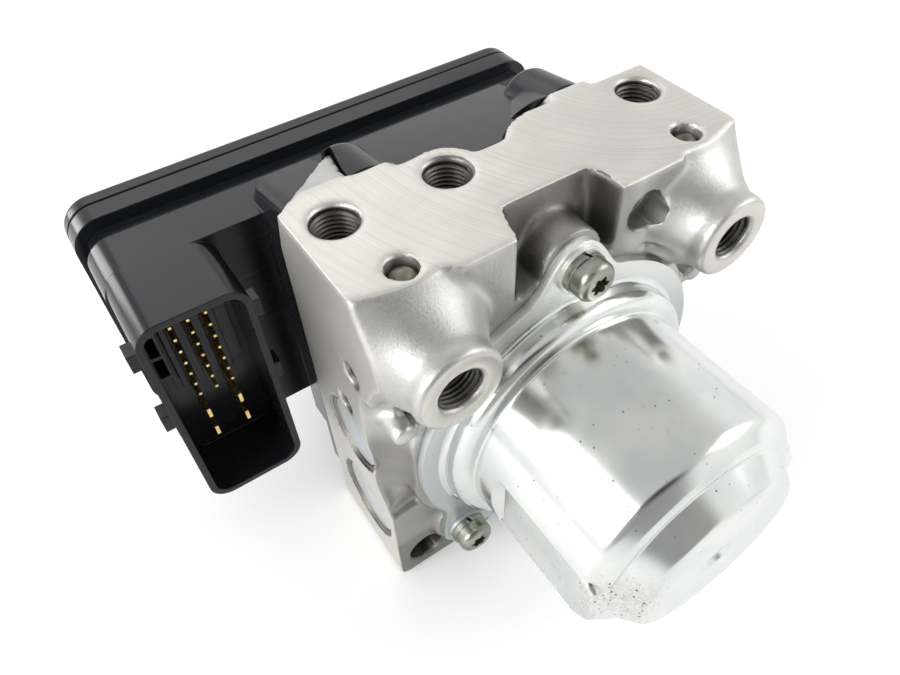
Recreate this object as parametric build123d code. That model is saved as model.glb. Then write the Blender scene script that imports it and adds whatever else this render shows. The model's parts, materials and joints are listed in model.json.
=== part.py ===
"""Hydraulic unit of a motorcycle anti-lock brake.

A cast aluminium valve block carries the brake ports, a pump motor on its front
and a black plastic control unit on its back. Inside, an eccentric on the motor
shaft works two pump plungers, two spring pistons hold released fluid, and four
solenoid valves stand in the back face under the coils of the control unit.

Frame, in millimetres: X to the right across the block, Y from the motor back to
the control unit, Z up. The origin lies on the bottom face of the block, under
the crossing of the motor axis and the pump bores.
"""

from math import cos, radians, sin
import os

from build123d import *

os.makedirs("parts", exist_ok=True)

# Clearances between mating pieces
SLIDE_GAP = 0.03
SEAT_GAP = 0.05
LOOSE_GAP = 0.3

# Valve block
BLOCK_HALF_WIDTH = 44.0
BLOCK_HEIGHT = 99.5
BLOCK_BACK = 16.0
BLOCK_TOP_BACK = 13.4
BACK_SLOPE_HEIGHT = 9.0
CORE_FRONT = -9.5
WALL_FRONT = -13.6
SIDE_WALL = 3.2
EDGE_ROUND = 1.5
PAD_FACE = -17.2
PAD_DEPTH = 26.0
LEFT_PAD_INNER = -13.0
LEFT_PAD_OUTER = -24.7
RIGHT_PAD_INNER = 10.8
RIGHT_PAD_OUTER = 34.6
SADDLE_FRONT = -8.3
SADDLE_LOW = 92.0

# Brake pipe ports, thread M10 x 1
PORT_THREAD_RADIUS = 4.55
PORT_MOUTH_RADIUS = 5.25
PORT_DEPTH = 12.5
PORT_DRILL_RADIUS = 1.6
PORT_DRILL_DEPTH = 6.0
TOP_PORT_Y = 6.0
LEFT_PORT_X = -36.1
MIDDLE_PORT_X = -12.2
RIGHT_PORT_X = 36.1
TOP_PORT_X = (LEFT_PORT_X, MIDDLE_PORT_X, RIGHT_PORT_X)
PORT_BOSS_RADIUS = 8.1
FRONT_PORT_X = 32.7
FRONT_PORT_Z = 83.9
FRONT_BOSS_FACE = -28.5
FRONT_BOSS_RADIUS = 9.0
FRONT_BOSS_NECK = -24.5
FRONT_BOSS_ROOT = -13.8
FRONT_BOSS_ROOT_RADIUS = 18.5

# Scoop in the back edge of the top face, between the middle port and the right lug
NOTCH_FLOOR_Y = 8.15
NOTCH_DEPTH = 9.0
NOTCH_LEFT_REACH = 3.0
NOTCH_SHOULDER_X = 12.8
NOTCH_SHOULDER_Y = 1.3
NOTCH_SHOULDER_RADIUS = 12.2

# Cast web that slopes down from the back left corner of the top face
GUSSET_ROOT_X = -28.4
GUSSET_BEND_X = -27.6
GUSSET_BEND_Y = 19.5
GUSSET_TIP_X = -26.0
GUSSET_TIP_Y = 28.5
GUSSET_DROP = 2.9
GUSSET_THICK = 4.2

# Small drillings, closed by pressed balls
TOP_DRILLING_X = 32.7
TOP_DRILLING_Y = -11.1
TOP_DRILLING_RADIUS = 3.0
TOP_DRILLING_DEPTH = 7.0
SIDE_DRILLING_RADIUS = 2.8
UPPER_DRILLING_Y = -7.4
UPPER_DRILLING_Z = 75.2
LOWER_DRILLING_Y = -0.5
LOWER_DRILLING_Z = 59.3
SIDE_DRILLINGS = ((UPPER_DRILLING_Y, UPPER_DRILLING_Z), (LOWER_DRILLING_Y, LOWER_DRILLING_Z))
SIDE_DRILLING_DEPTH = 6.0
BALL_CLEARANCE = 0.05

# Screw hole in the right pad
PAD_HOLE_X = 18.1
PAD_HOLE_Z = 90.5
PAD_HOLE_RADIUS = 4.4
PAD_HOLE_DEPTH = 5.0
PAD_HOLE_THREAD_RADIUS = 2.6
PAD_HOLE_THREAD_DEPTH = 8.0

# Mounting feet
FOOT_INNER = 17.0
FOOT_TOP = 31.0
FOOT_SLOPE = 3.5
FOOT_FACE = -15.2
FOOT_HOLE_X = 36.5
FOOT_HOLE_Z = 7.4
FOOT_HOLE_RADIUS = 4.5
FOOT_HOLE_DEPTH = 20.0
NUB_X = -39.4
NUB_Z = 62.6
NUB_RADIUS = 2.3
NUB_FACE = -15.8

# Motor can, pressed from sheet
MOTOR_Z = 46.5
SHEET = 2.0
CAN_RADIUS = 28.0
COLLAR_STEP = 4.1
COLLAR_RADIUS = CAN_RADIUS + COLLAR_STEP
COLLAR_DEPTH = 5.6
COLLAR_ROUND = 2.2
FLANGE_WIDTH = 5.4
FLANGE_RADIUS = COLLAR_RADIUS + FLANGE_WIDTH
SCREW_OVERHANG = 3.1
SCREW_CIRCLE = FLANGE_RADIUS + SCREW_OVERHANG
SCREW_ANGLES = (90.0, 228.0, 312.0)
EAR_RADIUS = 6.2
EAR_ROOT_RADIUS = 11.5
EAR_ROOT_INSET = 10.0
CAN_RIM_Y = -57.0
RIM_ROUND = 3.0
RIM_INSET = 3.6
RIM_STEP_Y = -60.0
RIM_STEP_RADIUS = CAN_RADIUS - RIM_INSET
CONE_LEDGE = 1.0
CONE_RADIUS = RIM_STEP_RADIUS - CONE_LEDGE
CONE_TAPER = 3.8
CONE_TOP_RADIUS = CONE_RADIUS - CONE_TAPER
CAN_END_ROUND = 1.5
CAN_END_Y = -65.6
DIMPLE_RADIUS = 3.8
DIMPLE_DEPTH = 0.9
FLAT_CUT = 1.1
FLAT_DISTANCE = CAN_RADIUS - FLAT_CUT
FLAT_HALF_WIDTH = 7.4
FLAT_START_Y = -29.0
FLAT_RAMP = 3.0
MOTOR_PAD_MARGIN = 1.8
FLANGE_SEAT_GAP = 0.8
SCREW_BOSS_RADIUS = 7.2

# Screws of the motor, M5 with spring and flat washers
SCREW_RADIUS = 2.4
SCREW_HOLE_RADIUS = 2.75
SCREW_LENGTH = 10.0
SCREW_HEAD_RADIUS = 4.3
SCREW_HEAD_HEIGHT = 3.6
SOCKET_RADIUS = 2.1
SOCKET_DEPTH = 2.0
FLAT_WASHER_RADIUS = 5.2
FLAT_WASHER_THICK = 1.0
SPRING_WASHER_RADIUS = 4.6
SPRING_WASHER_THICK = 1.3
SPRING_WASHER_SPLIT = 0.8
SPRING_WASHER_TILT = 25.0

# Rotor and its bearings
SHAFT_RADIUS = 4.0
SHAFT_BACK = 11.0
ECCENTRICITY = 1.0
CAM_RADIUS = 6.0
CAM_HALF_LENGTH = 4.5
CAM_BEARING_RADIUS = 8.5
CHAMBER_RADIUS = 14.0
CHAMBER_BACK = 6.5
NOSE_BEARING_RADIUS = 6.5
NOSE_BEARING_WIDTH = 4.0
FRONT_BEARING_RADIUS = 11.0
FRONT_BEARING_Y = -13.0
SEAL_OVERHANG = 0.8
SEAL_INSET = 1.2
SEAL_TO_BEARING = 0.1
REAR_BEARING_RADIUS = 8.0
REAR_BEARING_WIDTH = 5.0
MAGNET_THICK = 5.6
MAGNET_INNER_RADIUS = CAN_RADIUS - SHEET - MAGNET_THICK
AIR_GAP = 0.8
ARMATURE_RADIUS = MAGNET_INNER_RADIUS - AIR_GAP
ARMATURE_FRONT = -35.0
ARMATURE_BACK = -53.0
ARMATURE_SLOTS = 12
SLOT_WIDTH = 3.0
SLOT_DEPTH = 8.1
SLOT_FLOOR_RADIUS = ARMATURE_RADIUS - SLOT_DEPTH
WINDING_INSET = 2.6
WINDING_RADIUS = ARMATURE_RADIUS - WINDING_INSET
WINDING_OVERHANG = 3.6
COMMUTATOR_RADIUS = 9.0
COMMUTATOR_LENGTH = 8.0
COMMUTATOR_BARS = 12
COMMUTATOR_SLIT = 0.8
MAGNET_HALF_ANGLE = 56.0
MAGNET_FRONT = -32.0
MAGNET_BACK = -56.0
BRUSH_PLATE_THICK = 2.5
BRUSH_PLATE_BACK = -18.2
BRUSH_WIDTH = 5.0
BRUSH_HEIGHT = 4.0
BRUSH_HOLDER_WALL = 1.0
BRUSH_SPRING_LENGTH = 6.0
BRUSH_HOLDER_GAP = 1.2
BRUSH_END_GAP = 0.8
BRUSH_TRACK = CAN_RADIUS - SHEET - COMMUTATOR_RADIUS
BRUSH_LENGTH = BRUSH_TRACK - BRUSH_END_GAP - BRUSH_HOLDER_GAP - BRUSH_SPRING_LENGTH
BRUSH_SPRING_RADIUS = 1.4
BRUSH_SPRING_WIRE = 0.5
BRUSH_SPRING_TURNS = 3
TERMINAL_X = 4.0
TERMINAL_Z = 72.0
TERMINAL_WIDTH = 2.6
TERMINAL_THICK = 0.8
TERMINAL_BORE_RADIUS = 7.0

# Pump, one plunger on each side
PLUNGER_RADIUS = 3.2
PLUNGER_LENGTH = 15.0
PLUNGER_COLLAR_RADIUS = 4.6
PLUNGER_COLLAR = 1.2
CYLINDER_RADIUS = 6.2
CYLINDER_INSET = 25.0
CYLINDER_START = BLOCK_HALF_WIDTH - CYLINDER_INSET
CYLINDER_LENGTH = 13.0
CYLINDER_END_WALL = 2.0
OUTLET_RADIUS = 1.0
CHECK_BORE_RADIUS = 2.4
CHECK_END_WALL = 2.5
PUMP_SPRING_GAP = 0.8
PUMP_SPRING_WIRE = 0.5
PUMP_SPRING_TURNS = 4
PUMP_PLUG_RADIUS = 8.4
PUMP_PLUG_THICK = 3.0
PLUG_RECESS = 1.0
PLUG_RIM_RADIUS = 9.6
PLUG_RIM_DEPTH = 0.6

# Low pressure accumulators, one on each side
ACCU_Y = -1.0
ACCU_Z = 19.5
ACCU_RADIUS = 8.6
ACCU_CAP_RADIUS = 9.6
ACCU_CAP_THICK = 2.6
ACCU_RIM_RADIUS = 10.8
ACCU_BORE_END = 13.0
PISTON_LENGTH = 8.0
PISTON_WALL = 1.4
RING_PLACE = 2.0
RING_WIDTH = 1.7
RING_THICK = 0.75
ACCU_SPRING_GAP = 1.2
PISTON_STROKE = 6.0
ACCU_SPRING_WIRE = 0.7
ACCU_SPRING_TURNS = 4

# Solenoid valves in the back face
VALVE_X = 18.0
INLET_Z = 71.5
OUTLET_Z = 33.5
VALVE_RADIUS = 5.0
VALVE_FLANGE_RADIUS = 6.0
VALVE_FLANGE = 1.5
VALVE_DEPTH = 10.0
DOME_RADIUS = 3.4
DOME_WALL = 0.45
DOME_LENGTH = 19.0
ARMATURE_PIN_RADIUS = DOME_RADIUS - DOME_WALL - 0.08
ARMATURE_PIN_LENGTH = 8.0
DOME_FLOOR = 0.5
DOME_END_WALL = 1.45
ARMATURE_GAP = 3.0
NEEDLE_RADIUS = 0.9
NEEDLE_CLEARANCE = 0.1
NEEDLE_LIFT_GAP = 0.5
VALVE_SEAT_PLACE = 3.0
VALVE_INLET_RADIUS = 0.6
VALVE_SPRING_RADIUS = 1.7
VALVE_SPRING_WIRE = 0.4
VALVE_SPRING_TURNS = 3
VALVE_STROKE = 0.3
COIL_RADIUS = 9.6
COIL_LENGTH = 17.0
COIL_FLANGE = 1.0
COIL_BORE_GAP = 0.15

# Control unit: circuit box, coil chamber and lid
BOX_LEFT = -75.9
BOX_RIGHT = 40.4
BOX_LOW = 28.5
BOX_TOP = 86.5
BOX_FRONT = 31.8
BOX_CORNER = 6.0
BOX_WALL = 2.2
GROOVE_Y = 43.8
GROOVE_DEPTH = 1.6
LID_SEAT = 49.4
LID_RIM = 1.0
LID_BACK = 60.2
LID_ROUND = 2.5
LID_WALL = 2.0
LID_LINE_Y = 54.6
LID_LINE_WIDTH = 0.7
LID_LINE_DEPTH = 0.5
CHAMBER_LEFT = -41.5
CHAMBER_RIGHT = 39.5
CHAMBER_LOW = 14.0
CHAMBER_WALL = 2.4
GASKET_FLANGE = 3.5
GASKET_FLANGE_MARGIN = 0.6
GASKET_FLANGE_LOW = 9.5
HUMP_FRONT_Z = 97.0
HUMP_BACK_Z = 92.4
HUMP_BACK_Y = 35.0
HUMP_FOOT_Y = 39.5
HUMP_SIDE_ROUND = 3.0
HUMP_ROOF = 3.0
TOWER_X = 24.5
TOWER_Z = 91.0
TOWER_FRONT_RADIUS = 8.5
TOWER_END_RADIUS = 7.2
TOWER_END_DROP = 0.5
TOWER_END_ROUND = 3.0
TOWER_BACK = 30.5
FAIRING_SHIFT = 7.0
FAIRING_HALF_WIDTH = 11.0
ATTIC_HALF_WIDTH = 13.0
BOSS_LOBE_RADIUS = 9.66
HOUSING_SCREW_RADIUS = 2.0
HOUSING_SCREW_HEAD_RADIUS = 3.2
HOUSING_SCREW_HEAD = 2.6
HOUSING_SCREW_ENGAGED = 9.0
LOW_SCREW_X = 31.0
LOW_SCREW_Z = 18.5
LOW_SCREW_SEAT = 29.0

# Connector
SHROUD_LEFT = -75.4
SHROUD_RIGHT = -52.4
SHROUD_MOUTH = 14.0
SHROUD_WALL = 1.5
SHROUD_CORNER = 5.0
SHROUD_FLOOR = 29.0
LUG_DROPS = (9.0, 28.5)
LUG_HALF_HEIGHT = 2.2
LUG_REACH = 2.0
LUG_INSET = 2.5
LUG_DEPTH = 4.0
PIN_ROWS = 7
PIN_COLUMNS = 3
PIN_PITCH_X = 3.65
PIN_PITCH_Z = 3.45
PIN_SIZE = 0.64
PIN_TIP = 19.5
PIN_TOP_Z = 79.3
PIN_LEFT_X = -68.0
BLADE_THICK = 0.8
BLADE_HEIGHT = 2.8
BLADE_TIP = 19.0
BLADE_PITCH_Z = 6.5
PIN_SLOT_GAP = 0.02
PLATFORM_FRONT = PIN_TIP + 6.0
PLATFORM_MARGIN_X = 2.2
PLATFORM_MARGIN_Z = 2.4
PIN_GROOVE_WIDTH = 1.7
PIN_GROOVE_DEPTH = 1.6
STEP_WIDTH = 3.0
STEP_DROP = 1.6
LADDER_DEPTH = 5.0
LADDER_POCKETS = 3
POCKET_HEIGHT = 5.2
POCKET_RUNG = 0.9

# Circuit board
BOARD_Y = 45.0
BOARD_THICK = 1.6
BOARD_GAP = 1.0


def box(x0, x1, y0, y1, z0, z1):
    """Box between two opposite corners."""
    size = Box(x1 - x0, y1 - y0, z1 - z0)
    return Pos((x0 + x1) / 2, (y0 + y1) / 2, (z0 + z1) / 2) * size


def rod_x(radius, x0, x1, y, z):
    """Cylinder along X."""
    return Pos((x0 + x1) / 2, y, z) * Rot(0, 90, 0) * Cylinder(radius, abs(x1 - x0))


def rod_y(radius, y0, y1, x, z):
    """Cylinder along Y."""
    return Pos(x, (y0 + y1) / 2, z) * Rot(90, 0, 0) * Cylinder(radius, abs(y1 - y0))


def rod_z(radius, z0, z1, x, y):
    """Cylinder along Z."""
    return Pos(x, y, (z0 + z1) / 2) * Cylinder(radius, abs(z1 - z0))


def turned_y(points, x=0.0, z=0.0):
    """Solid of revolution about an axis along Y, from (radius, y) points."""
    profile = make_face(Polyline(*points, close=True))
    return Pos(x, 0, z) * revolve(profile, Axis.Y, 360)


def round_corner(sketch, x, y, radius):
    """Round the corner of a flat outline that lies nearest to a point."""
    corner = sketch.vertices().sort_by_distance((x, y, 0))[0]
    return fillet(corner, radius)


def rounded_slab(x0, x1, z0, z1, y0, y1, radius):
    """Plate with rounded corners, drawn in the XZ plane and thick along Y."""
    outline = RectangleRounded(x1 - x0, z1 - z0, radius)
    slab = extrude(outline, y1 - y0)
    return Pos((x0 + x1) / 2, y1, (z0 + z1) / 2) * Rot(90, 0, 0) * slab


def mirrored(shape):
    """The same shape on the other side of the motor axis."""
    return mirror(shape, Plane.YZ)


def group(shapes):
    """Separate solids of one kind, kept together in one node."""
    solids = []
    for shape in shapes:
        solids += list(shape.solids())
    return Compound(children=solids)


def port_bore(depth=PORT_DEPTH):
    """Tapped port with a chamfered mouth and a drilled passage, opening at z = 0."""
    chamfer = PORT_MOUTH_RADIUS - PORT_THREAD_RADIUS
    thread = Pos(0, 0, -depth / 2) * Cylinder(PORT_THREAD_RADIUS, depth)
    mouth = Pos(0, 0, -chamfer / 2) * Cone(PORT_THREAD_RADIUS, PORT_MOUTH_RADIUS, chamfer)
    seat_depth = PORT_THREAD_RADIUS - PORT_DRILL_RADIUS
    seat = Pos(0, 0, -depth - seat_depth / 2) * Cone(PORT_DRILL_RADIUS, PORT_THREAD_RADIUS, seat_depth)
    drill = Pos(0, 0, -depth - PORT_DRILL_DEPTH / 2) * Cylinder(PORT_DRILL_RADIUS, PORT_DRILL_DEPTH)
    return thread + mouth + seat + drill


def screw_places():
    """Centres (x, z) of the three motor screws."""
    places = []
    for angle in SCREW_ANGLES:
        a = radians(angle)
        places.append((SCREW_CIRCLE * cos(a), MOTOR_Z + SCREW_CIRCLE * sin(a)))
    return places


def housing_screw_places():
    """Centres (x, z) of the four screws that hold the control unit."""
    return [(-TOWER_X, TOWER_Z), (TOWER_X, TOWER_Z), (-LOW_SCREW_X, LOW_SCREW_Z), (LOW_SCREW_X, LOW_SCREW_Z)]


def housing_screw_seats():
    """Y of the face under each of those screws' heads."""
    upper = TOWER_BACK - HOUSING_SCREW_HEAD - 0.6
    return [upper, upper, LOW_SCREW_SEAT, LOW_SCREW_SEAT]


def front_boss(x):
    """Round boss of a front port, flared where it leaves the casting."""
    profile = make_face(
        Polyline(
            (0, FRONT_BOSS_FACE),
            (FRONT_BOSS_RADIUS, FRONT_BOSS_FACE),
            (FRONT_BOSS_RADIUS, FRONT_BOSS_NECK),
        )
        + ThreePointArc(
            (FRONT_BOSS_RADIUS, FRONT_BOSS_NECK),
            (FRONT_BOSS_RADIUS + 2.6, (FRONT_BOSS_NECK + FRONT_BOSS_ROOT) / 2 - 0.6),
            (FRONT_BOSS_ROOT_RADIUS, FRONT_BOSS_ROOT),
        )
        + Polyline(
            (FRONT_BOSS_ROOT_RADIUS, FRONT_BOSS_ROOT),
            (FRONT_BOSS_ROOT_RADIUS, CORE_FRONT + 1),
            (0, CORE_FRONT + 1),
            (0, FRONT_BOSS_FACE),
        )
    )
    profile = round_corner(profile, FRONT_BOSS_RADIUS, FRONT_BOSS_FACE, 1.2)
    return Pos(x, 0, FRONT_PORT_Z) * revolve(profile, Axis.Y, 360)


def block_casting():
    """Outer form of the valve block before its bores."""
    w = BLOCK_HALF_WIDTH
    side = make_face(
        Polyline(
            (CORE_FRONT, 0),
            (BLOCK_BACK, 0),
            (BLOCK_BACK, BLOCK_HEIGHT - BACK_SLOPE_HEIGHT),
            (BLOCK_TOP_BACK, BLOCK_HEIGHT),
            (SADDLE_FRONT, BLOCK_HEIGHT),
            (SADDLE_FRONT - 1.4, SADDLE_LOW),
            (CORE_FRONT, SADDLE_LOW - 8),
            close=True,
        )
    )
    core = extrude(Plane.YZ * side, w, both=True)

    upper = make_face(
        Polyline(
            (-w, BLOCK_TOP_BACK - 1),
            (-w, WALL_FRONT - 0.2),
            (LEFT_PAD_OUTER - 3.0, WALL_FRONT - 1.4),
            (LEFT_PAD_OUTER, PAD_FACE),
            (LEFT_PAD_INNER, PAD_FACE),
            (LEFT_PAD_INNER + 2.6, SADDLE_FRONT),
            (RIGHT_PAD_INNER - 0.6, SADDLE_FRONT),
            (RIGHT_PAD_INNER, PAD_FACE),
            (RIGHT_PAD_OUTER - 8.3, PAD_FACE),
            (RIGHT_PAD_OUTER - 7.8, PAD_FACE + 1.0),
            (RIGHT_PAD_OUTER, PAD_FACE + 1.0),
            (RIGHT_PAD_OUTER + 2.0, WALL_FRONT - 0.6),
            (w, WALL_FRONT - 0.6),
            (w, BLOCK_TOP_BACK - 1),
            close=True,
        )
    )
    upper = round_corner(upper, LEFT_PAD_INNER, PAD_FACE, 1.2)
    upper = round_corner(upper, LEFT_PAD_INNER + 2.6, SADDLE_FRONT, 2.0)
    upper = round_corner(upper, RIGHT_PAD_INNER - 0.6, SADDLE_FRONT, 3.0)
    upper = round_corner(upper, LEFT_PAD_OUTER, PAD_FACE, 1.5)
    upper = round_corner(upper, -w, WALL_FRONT - 0.2, EDGE_ROUND)
    upper = round_corner(upper, w, WALL_FRONT - 0.6, EDGE_ROUND)
    top = Pos(0, 0, BLOCK_HEIGHT - PAD_DEPTH) * extrude(upper, PAD_DEPTH)

    motor_pad = rod_y(FLANGE_RADIUS + MOTOR_PAD_MARGIN, PAD_FACE, CORE_FRONT + 1, 0, MOTOR_Z)
    casting = core + top + motor_pad
    for x, z in screw_places():
        casting += rod_y(SCREW_BOSS_RADIUS, PAD_FACE, CORE_FRONT + 1, x, z)

    foot_outline = make_face(
        Polyline(
            (-w, 0),
            (-FOOT_INNER, 0),
            (-FOOT_INNER, FOOT_TOP - 8),
            (-w + 9.0, FOOT_TOP),
            (-w, FOOT_TOP - FOOT_SLOPE * 0.3),
            close=True,
        )
    )
    foot_outline = round_corner(foot_outline, -w, 0, EDGE_ROUND)
    foot = Pos(0, CORE_FRONT + 1, 0) * Rot(90, 0, 0) * extrude(foot_outline, CORE_FRONT + 1 - FOOT_FACE)
    wall = box(-w, -w + SIDE_WALL, WALL_FRONT, CORE_FRONT + 1, FOOT_TOP - 4, BLOCK_HEIGHT - PAD_DEPTH + 1)
    casting += foot + mirrored(foot) + wall + mirrored(wall)

    for x in (-FRONT_PORT_X, FRONT_PORT_X):
        casting += front_boss(x)
    for x, z in housing_screw_places()[:2]:
        lobe = rod_y(BOSS_LOBE_RADIUS, 0, BLOCK_BACK, x, z)
        casting += lobe
    casting += rod_y(NUB_RADIUS, NUB_FACE, CORE_FRONT + 1, NUB_X, NUB_Z)

    seat = extrude(flange_outline(FLANGE_SEAT_GAP), 3 * SHEET)
    casting -= Pos(0, PAD_FACE, MOTOR_Z) * Rot(90, 0, 0) * seat
    envelope = box(-w, w, FRONT_BOSS_FACE - 1, BLOCK_BACK, 0, BLOCK_HEIGHT)
    casting = casting & envelope
    low = BLOCK_HEIGHT - NOTCH_DEPTH
    casting += rod_z(PORT_BOSS_RADIUS, low, BLOCK_HEIGHT, MIDDLE_PORT_X, TOP_PORT_Y)
    return casting - top_notch() + corner_gusset()


def top_notch(margin=0.0):
    """Scoop in the back edge of the top face, or the room in it for a piece with some clearance."""
    x0 = MIDDLE_PORT_X + NOTCH_LEFT_REACH + margin
    low = BLOCK_HEIGHT - NOTCH_DEPTH + margin
    high = BLOCK_HEIGHT + 1
    notch = box(x0, NOTCH_SHOULDER_X - margin, NOTCH_FLOOR_Y + margin, BLOCK_BACK + 1, low, high)
    notch -= rod_z(PORT_BOSS_RADIUS + margin, low - 1, high + 1, MIDDLE_PORT_X, TOP_PORT_Y)
    shoulder = rod_z(NOTCH_SHOULDER_RADIUS + margin, low - 1, high + 1, NOTCH_SHOULDER_X, NOTCH_SHOULDER_Y)
    return notch - shoulder


def corner_gusset(margin=0.0):
    """Sloping cast web behind the left port, or the space it needs."""
    w = BLOCK_HALF_WIDTH
    root = BLOCK_TOP_BACK - 1.0
    plan = make_face(
        Polyline(
            (-w - margin, root),
            (-w - margin, root + 0.4 + margin),
            (GUSSET_TIP_X - 0.8 - margin, GUSSET_TIP_Y + margin),
            (GUSSET_TIP_X + 0.5 + margin, GUSSET_TIP_Y + margin),
            (GUSSET_BEND_X + margin, GUSSET_BEND_Y),
            (GUSSET_ROOT_X + margin, root),
            close=True,
        )
    )
    low = BLOCK_HEIGHT - GUSSET_THICK - margin
    web = Pos(0, 0, low) * extrude(plan, GUSSET_THICK + margin)
    side = make_face(
        Polyline(
            (root, BLOCK_HEIGHT + 0.01),
            (GUSSET_TIP_Y + 5, BLOCK_HEIGHT + 0.01),
            (GUSSET_TIP_Y + 5, BLOCK_HEIGHT - GUSSET_DROP),
            (GUSSET_TIP_Y, BLOCK_HEIGHT - GUSSET_DROP),
            (BLOCK_TOP_BACK + 1.0, BLOCK_HEIGHT),
            close=True,
        )
    )
    if margin > 0:
        return web
    return web - extrude(Plane.YZ * side, 2 * w, both=True)


def side_bores():
    """Pump, accumulator and drilling bores of the left side."""
    w = BLOCK_HALF_WIDTH
    cuts = rod_x(PLUG_RIM_RADIUS, -w - 1, -w + PLUG_RIM_DEPTH, 0, MOTOR_Z)
    cuts += rod_x(PUMP_PLUG_RADIUS, -w - 1, -w + PLUG_RECESS + PUMP_PLUG_THICK, 0, MOTOR_Z)
    cuts += rod_x(CYLINDER_RADIUS, -w, -CYLINDER_START, 0, MOTOR_Z)
    cuts += rod_x(PLUNGER_COLLAR_RADIUS + LOOSE_GAP, -CYLINDER_START - 1, 0, 0, MOTOR_Z)
    cuts += rod_x(ACCU_RIM_RADIUS, -w - 1, -w + PLUG_RIM_DEPTH, ACCU_Y, ACCU_Z)
    cuts += rod_x(ACCU_CAP_RADIUS, -w - 1, -w + PLUG_RECESS + ACCU_CAP_THICK, ACCU_Y, ACCU_Z)
    cuts += rod_x(ACCU_RADIUS, -w, -ACCU_BORE_END, ACCU_Y, ACCU_Z)
    for y, z in SIDE_DRILLINGS:
        cuts += rod_x(SIDE_DRILLING_RADIUS, -w - 1, -w + SIDE_DRILLING_DEPTH, y, z)
    return cuts


def valve_block():
    """Cast and drilled valve block."""
    block = block_casting()
    for x in TOP_PORT_X:
        block -= Pos(x, TOP_PORT_Y, BLOCK_HEIGHT) * port_bore()
    for x in (-FRONT_PORT_X, FRONT_PORT_X):
        block -= Pos(x, FRONT_BOSS_FACE, FRONT_PORT_Z) * Rot(90, 0, 0) * port_bore()
    for x in (-TOP_DRILLING_X, TOP_DRILLING_X):
        block -= rod_z(TOP_DRILLING_RADIUS, BLOCK_HEIGHT - TOP_DRILLING_DEPTH, BLOCK_HEIGHT + 1, x, TOP_DRILLING_Y)
    block -= rod_y(PAD_HOLE_RADIUS, PAD_FACE - 1, PAD_FACE + PAD_HOLE_DEPTH, PAD_HOLE_X, PAD_HOLE_Z)
    thread_end = PAD_FACE + PAD_HOLE_DEPTH + PAD_HOLE_THREAD_DEPTH
    block -= rod_y(PAD_HOLE_THREAD_RADIUS, PAD_FACE, thread_end, PAD_HOLE_X, PAD_HOLE_Z)
    for x in (-FOOT_HOLE_X, FOOT_HOLE_X):
        block -= rod_y(FOOT_HOLE_RADIUS, FOOT_FACE - 1, FOOT_FACE + FOOT_HOLE_DEPTH, x, FOOT_HOLE_Z)

    left = side_bores()
    block -= left
    block -= mirrored(left)

    block -= rod_y(CHAMBER_RADIUS, FRONT_BEARING_Y, CHAMBER_BACK, 0, MOTOR_Z)
    block -= rod_y(FRONT_BEARING_RADIUS + SEAT_GAP, PAD_FACE - 1, FRONT_BEARING_Y, 0, MOTOR_Z)
    nose_end = CHAMBER_BACK + NOSE_BEARING_WIDTH
    block -= rod_y(NOSE_BEARING_RADIUS + SEAT_GAP, CHAMBER_BACK - 1, nose_end + LOOSE_GAP, 0, MOTOR_Z)
    block -= rod_y(SHAFT_RADIUS + LOOSE_GAP, nose_end, SHAFT_BACK + LOOSE_GAP, 0, MOTOR_Z)
    block -= rod_y(TERMINAL_BORE_RADIUS, PAD_FACE - 1, BLOCK_BACK + 1, 0, TERMINAL_Z)

    for x, z in valve_places():
        block -= rod_y(VALVE_RADIUS, BLOCK_BACK - VALVE_DEPTH, BLOCK_BACK + 1, x, z)
        block -= rod_y(VALVE_FLANGE_RADIUS, BLOCK_BACK - VALVE_FLANGE, BLOCK_BACK + 1, x, z)
    for x, z in screw_places():
        block -= rod_y(SCREW_RADIUS + SEAT_GAP, PAD_FACE - 1, PAD_FACE + SCREW_LENGTH - SHEET, x, z)
    for x, z in housing_screw_places():
        tip = BLOCK_BACK - HOUSING_SCREW_ENGAGED
        block -= rod_y(HOUSING_SCREW_RADIUS + SEAT_GAP, tip - 1, BLOCK_BACK + 1, x, z)
    return block


def valve_places():
    """Centres (x, z) of the four valves, inlets first."""
    return [(-VALVE_X, INLET_Z), (VALVE_X, INLET_Z), (-VALVE_X, OUTLET_Z), (VALVE_X, OUTLET_Z)]


def flange_outline(extra=0.0):
    """Outline of the motor flange with its three ears, centred on the motor axis."""
    outline = Circle(FLANGE_RADIUS + extra)
    for angle in SCREW_ANGLES:
        ear = Pos(SCREW_CIRCLE, 0) * Circle(EAR_RADIUS + extra)
        root = Pos(SCREW_CIRCLE - EAR_ROOT_INSET, 0) * Circle(EAR_ROOT_RADIUS + extra)
        outline += Rot(0, 0, angle) * make_hull((ear + root).edges())
    return outline


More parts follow.
